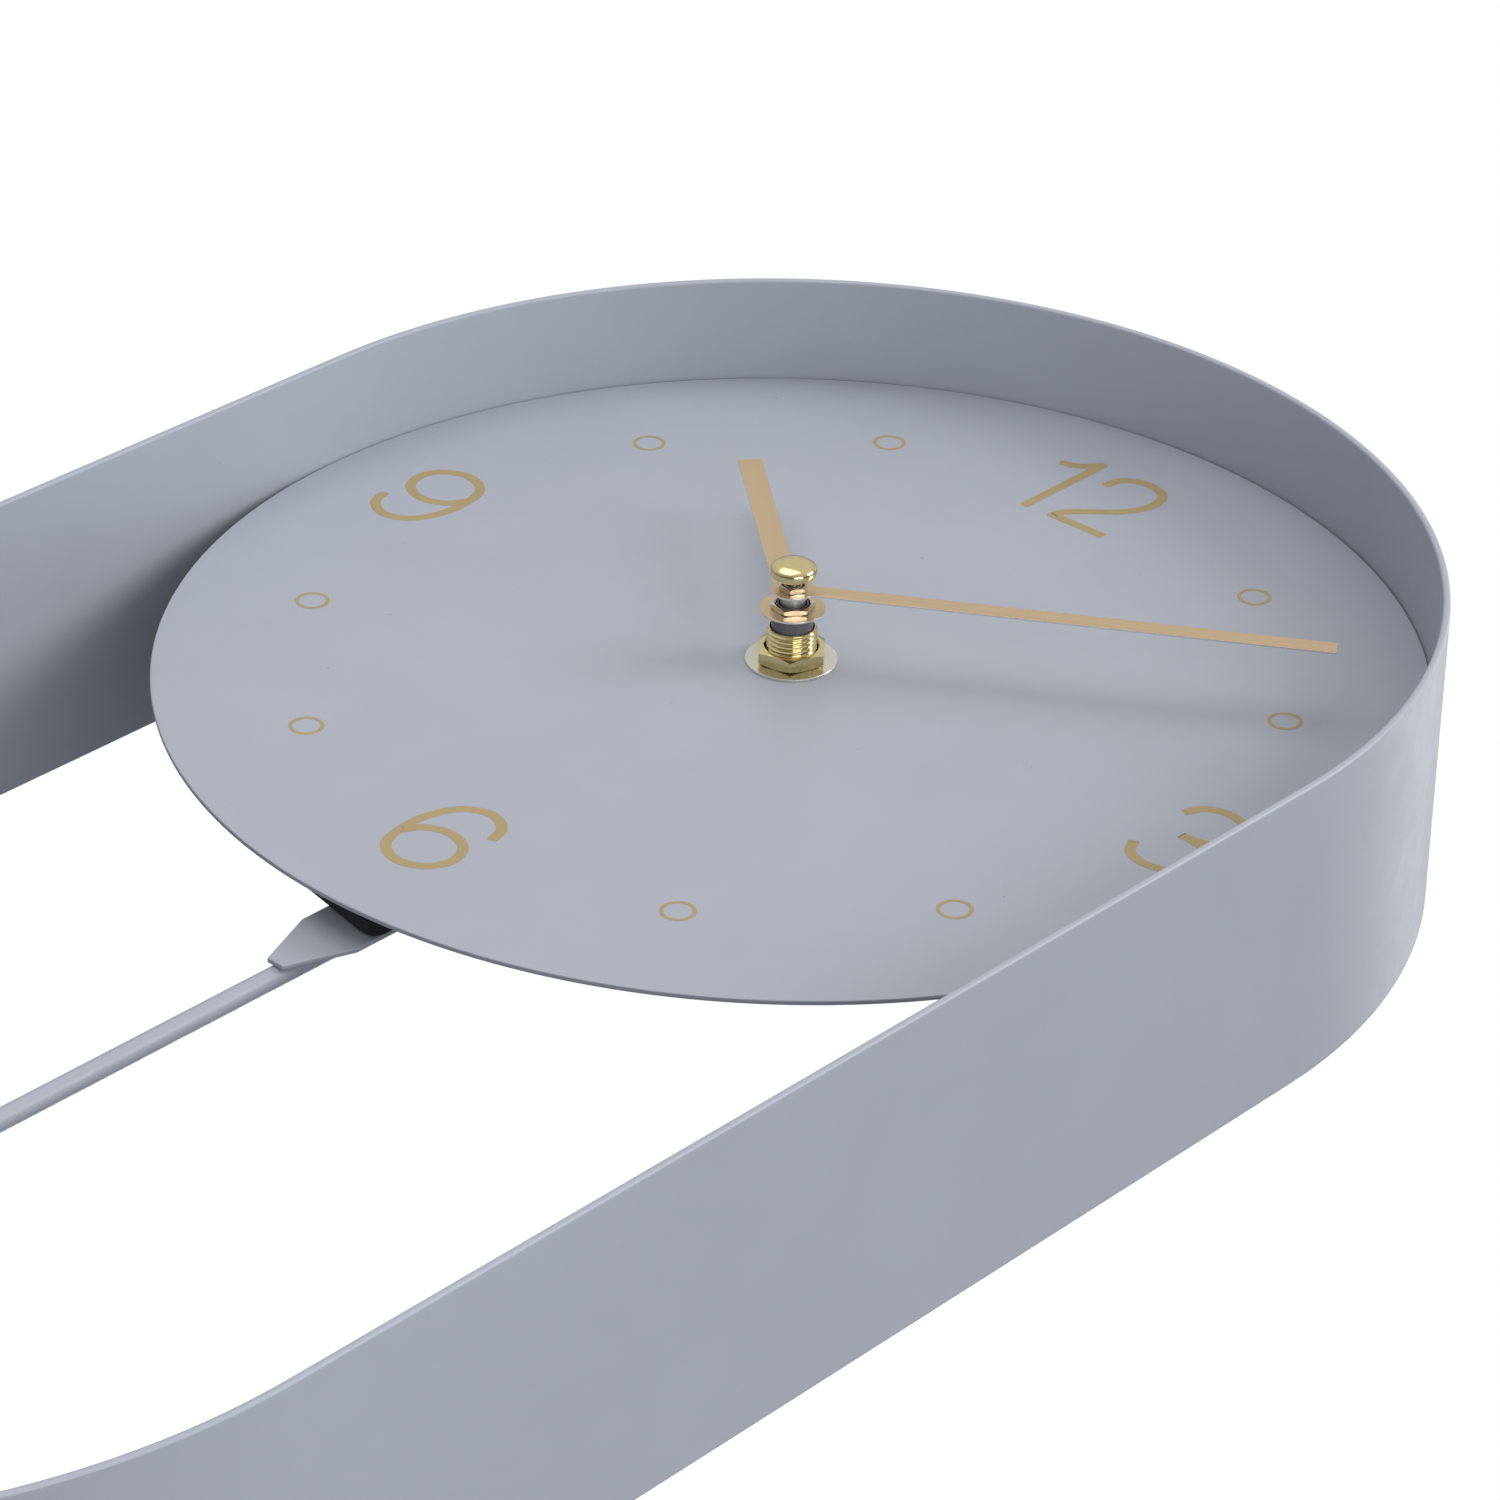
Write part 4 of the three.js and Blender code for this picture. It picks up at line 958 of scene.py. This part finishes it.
def build_rod(look):
    """A round rod with chamfered ends."""
    chamfer = 0.4
    steps = 20
    low, high = extent("pendulum_rod")
    radius = (high.x - low.x) / 2
    middle = (low + high) / 2
    profile = [(0, low.y), (radius - chamfer, low.y), (radius, low.y + chamfer)]
    profile += [(radius, low.y + (high.y - low.y) * k / steps) for k in range(1, steps)]
    profile += [(radius, high.y - chamfer), (radius - chamfer, high.y), (0, high.y)]
    vertices, faces = lathe(profile, 48, closed=False)
    vertices = [(x + middle.x, z, -y + middle.z) for x, y, z in vertices]
    new_piece("pendulum_tube", joined((vertices, faces)), "pendulum", look, ["pendulum_rod"])


def build_rod_welds(look):
    """Tack welds that join the rod to the back of its plate."""
    heights = (-121.5, -128.5)
    reach = 1.7
    behind = 0.5
    plate_back = extent("pendulum_plate")[0].z
    profile = [
        (1.5 * math.cos(a) * (1 + 0.06 * math.sin(5 * a)), 1.9 * math.sin(a))
        for a in (-math.pi / 2 + math.pi * k / 10 for k in range(11))
    ]
    beads = []
    for side in (-1, 1):
        for y in heights:
            vertices, faces = lathe(profile, 20, closed=False)
            placed = [
                (side * reach + x * 0.8, y + z, plate_back - behind + v * 0.7) for x, v, z in vertices
            ]
            beads.append((placed, faces))
    new_piece("rod_welds", joined(*beads), "pendulum", look, sharp=70)


def build_bob(look):
    """A flat disc with a rounded edge."""
    edge_rounding = 0.6
    steps = 5
    low, high = extent("pendulum_bob")
    radius = (high.x - low.x) / 2
    inner = radius - 3
    at = (0, (low.y + high.y) / 2)
    corners = [(inner, low.z), (radius, low.z), (radius, high.z), (inner, high.z)]
    outline = rounded(corners, edge_rounding, steps)
    per_corner = steps + 1
    rim = outline[per_corner:3 * per_corner]
    mesh = joined(lathe([(0, low.z), *rim, (0, high.z)], 192, at, closed=False))
    new_piece("bob_disc", mesh, "pendulum", look, ["pendulum_bob"])


# ---------------------------------------------------------------- moulded details and screws


def frame_round(left, right, bottom, top, width, back, front):
    """A raised frame with rounded edges round a rectangular opening."""
    corner = 1.6
    edge = []
    middle_x = (left + right) / 2
    middle_y = (bottom + top) / 2
    corners = ((right, top, 0), (left, top, 90), (left, bottom, 180), (right, bottom, 270))
    for x, y, start in corners:
        at = (x - math.copysign(corner, x - middle_x), y - math.copysign(corner, y - middle_y))
        for px, py in arc(corner, start, start + 90, 8, at):
            side = Vector((px - at[0], py - at[1])).normalized()
            edge.append((Vector((px, py)), side))
    profile = rounded([(0, back), (width, back), (width, front), (0, front)], 0.25, 3)
    return sweep(edge, lambda i: profile)


def plus_sign(x, y, size, width, back, front):
    """A moulded plus mark, as a twelve-sided prism."""
    a = width / 2
    b = size / 2
    outline = [
        (a, a), (a, b), (-a, b), (-a, a), (-b, a), (-b, -a),
        (-a, -a), (-a, -b), (a, -b), (a, -a), (b, -a), (b, a),
    ]
    return prism([(x + px, y + py) for px, py in outline], back, front)


def prism(outline, back, front):
    """A solid with that outline, from back to front."""
    count = len(outline)
    vertices = [(x, y, back) for x, y in outline] + [(x, y, front) for x, y in outline]
    faces = [list(range(count))[::-1], [count + i for i in range(count)]]
    faces += [[i, (i + 1) % count, count + (i + 1) % count, count + i] for i in range(count)]
    return vertices, faces


def rectangle(left, right, bottom, top):
    return [(left, bottom), (right, bottom), (right, top), (left, top)]


def roomy_side(cover, cell):
    """1 if the cover has more room above its cell than below it, or else -1."""
    low, high = extent(cover)
    cell_low, cell_high = extent(cell)
    return 1 if high.y - cell_high.y > cell_low.y - low.y else -1


COVERS = (
    ("movement_rear_cover", "movement_front_case", "battery"),
    ("drive_cover", "drive_housing", "drive_battery"),
)
SUNK = 0.2  # how far a raised detail reaches into the cover that it stands on


def build_case_details(plastic):
    """Frames round the cell bays, polarity marks, grip ribs and snap tabs on the two black housings."""
    frame_height = 0.5
    frame_gap = 0.3
    frame_width = 0.9
    mark_height = 0.25
    mark_size = 3
    mark_line = 0.7
    mark_gap = 4
    rib_height = 0.35
    rib_half = (0.5, 2)
    for cover, housing, cell in COVERS:
        cell_low, cell_high = extent(cell)
        low, high = extent(cover)
        front = low.z + SUNK
        parts = [frame_round(
            cell_low.x - frame_gap, cell_high.x + frame_gap, cell_low.y - frame_gap, cell_high.y + frame_gap,
            frame_width, low.z - frame_height, front,
        )]
        away = roomy_side(cover, cell)
        mark_y = (cell_high.y if away > 0 else cell_low.y) + away * mark_gap
        mark_back = low.z - mark_height
        parts.append(plus_sign(cell_high.x - mark_size, mark_y, mark_size, mark_line, mark_back, front))
        minus_left = cell_low.x + mark_size / 2
        minus = rectangle(
            minus_left, minus_left + mark_size, mark_y - mark_line / 2, mark_y + mark_line / 2,
        )
        parts.append(prism(minus, mark_back, front))
        housing_low, housing_high = extent(housing)
        middle = (housing_low.z + housing_high.z) / 2
        for side in (-1, 1):
            for y in (low.y + 8, high.y - 8):
                inner = side * (high.x - 0.2)
                outer = side * (high.x + 0.7)
                tab = [(inner, y - 3), (outer, y - 2.6), (outer, y + 2.6), (inner, y + 3)]
                parts.append(prism(tab, low.z + 0.4, middle))
        rib_y = mark_y + away * mark_gap
        for x in (-6, -3, 0, 3, 6):
            rib = rectangle(x - rib_half[0], x + rib_half[0], rib_y - rib_half[1], rib_y + rib_half[1])
            parts.append(prism(rounded(rib, 0.45, 3), low.z - rib_height, front))
        new_piece(f"{cover}_details", joined(*parts), "case", plastic)


def build_screws(steel):
    """Small cross-headed screws at the corners of both covers."""
    inset = 4
    radius = 1.7
    rise = 1.1
    slot_half = 0.22
    slot_reach = 1.1
    slot_depth = 0.5
    cross = math.radians(25)
    parts = []
    for cover, _, cell in COVERS:
        low, high = extent(cover)
        away = roomy_side(cover, cell)
        y = (high.y if away > 0 else low.y) - away * inset
        seat = low.z + SUNK
        dome = [
            (radius * math.sin(a), seat - rise * math.cos(a))
            for a in (math.pi / 2 * k / 6 for k in range(1, 7))
        ]
        head = [(0, seat - rise), *dome, (radius, seat + 0.1), (0, seat + 0.1)]
        for x in (low.x + inset, high.x - inset):
            vertices, faces = lathe(head, 32, (x, y), closed=False)
            slotted = []
            for vx, vy, vz in vertices:
                dx = vx - x
                dy = vy - y
                u = dx * math.cos(cross) + dy * math.sin(cross)
                v = dy * math.cos(cross) - dx * math.sin(cross)
                in_cross = min(abs(u), abs(v)) < slot_half and max(abs(u), abs(v)) < slot_reach
                slotted.append((vx, vy, vz + slot_depth if in_cross and vz < low.z else vz))
            parts.append((slotted, faces))
    new_piece("cover_screws", joined(*parts), "case", steel, sharp=40)


# ---------------------------------------------------------------- the clock


def finishes():
    """One material for each of the record's slots, and some for single pieces."""
    return {
        "enamel": powder_coat(),
        "steel": surface(
            "zinc_plate", (0.6, 0.6, 0.59), 0.36, 0.9, mottle=(70, 0.05), sheen=(45, 0.06),
            grain=((1200, 0.000004),), stretch=(0.25, 1, 1),
        ),
        "brass": surface(
            "polished_brass", (0.78, 0.66, 0.34), 0.16, 1.0, mottle=(400, 0.05), sheen=(700, 0.05),
            grain=((1500, 0.000004),),
        ),
        "pale_brass": turned_metal("satin_nickel_brass", (0.8, 0.78, 0.68), 0.26, 0.00035, 0.000004),
        "gold": brushed("satin_gold", (0.68, 0.5, 0.3), 0.45, (1, 1, 0.05), metallic=0.6),
        "copper": wound_wire(),
        "black_plastic": moulded("black_plastic", (0.011, 0.011, 0.013), 0.48),
        "dark_plastic": moulded("dark_plastic", (0.13, 0.13, 0.14), 0.3, 0.000004, 900),
        "white_plastic": moulded("white_acetal", (0.76, 0.75, 0.7), 0.35, 0.000003, 800),
        "rubber": moulded("rubber", (0.018, 0.018, 0.02), 0.8, 0.00002, 700),
        "board": solder_mask(),
        "magnet": surface("dark_nickel", (0.09, 0.09, 0.1), 0.35, 0.8, grain=((600, 0.00001),)),
        "cell": cell_sleeve(),
    }


# Edge bevels of the CAD nodes that still show, in millimetres.
BEVELS = {
    "hanger_plate": 0.3, "rubber_gasket": 0.15, "movement_front_case": 0.45, "movement_rear_cover": 0.35,
    "contact_positive": 0.08, "contact_negative": 0.08, "drive_contact_positive": 0.08,
    "drive_contact_negative": 0.08, "stator": 0.08, "coil_core": 0.08, "coil_bobbin": 0.12,
    "coil_winding": 0.5, "circuit_board": 0.08, "quartz_crystal": 0.15, "control_chip": 0.1,
    "train_bridge": 0.15, "drive_pad": 0.2,
    "drive_housing": 0.5, "drive_cover": 0.4, "lever_pin": 0.15, "drive_coil": 0.5, "drive_core": 0.2,
    "drive_board": 0.08, "setting_knob": 0.08, "swing_lever": 0.4, "lever_magnet": 0.25, "hook_pin": 0.15,
    "pendulum_plate": 0.25, "bob_clip": 0.2, "rotor_magnet": 0.2, "hour_wheel": 0.05, "cannon_pinion": 0.05,
}


def build_clock():
    """Every new piece in turn, and then bevels and finishes for the CAD nodes that still show."""
    looks = finishes()
    build_band(looks["enamel"])
    build_dial(looks["enamel"])
    build_welds(looks["enamel"], looks["steel"])
    ink = surface(
        "gold_ink", (0.43, 0.325, 0.155), 0.5, 0.15, mottle=(120, 0.05), grain=((900, 0.000006),),
    )
    build_numerals(ink)
    build_markers(ink)
    build_fixings(looks["brass"], looks["pale_brass"])
    nickel = surface(
        "nickel_plate", (0.7, 0.68, 0.63), 0.14, 1.0, mottle=(400, 0.04), grain=((1500, 0.000003),),
    )
    build_collets(nickel)
    hands = {
        name: brushed(f"{name}_hand_gold", (0.7, 0.52, 0.32), 0.3, (1, 1, 0.04), turn, 0.85)
        for name, turn in (("hour", -HOUR_ANGLE), ("minute", -MINUTE_ANGLE))
    }
    cut_edge = surface("cut_aluminium", (0.86, 0.85, 0.82), 0.25, 0.9, mottle=(900, 0.05))
    build_hands(hands, cut_edge)
    build_cap(looks["brass"])
    build_cells(looks["cell"])
    build_rod(looks["enamel"])
    build_rod_welds(looks["enamel"])
    build_bob(looks["enamel"])
    build_case_details(looks["black_plastic"])
    build_screws(looks["steel"])
    slots = {part["node"]: part["material_slot"] for part in frame["record"]["subparts"]}
    for node, piece in frame["nodes"].items():
        if not piece.hide_render:
            soften(node, BEVELS.get(node, 0), looks[slots[node]])


photo_axes = photo_camera()
studio(*photo_axes)
pale_floor()
build_clock()
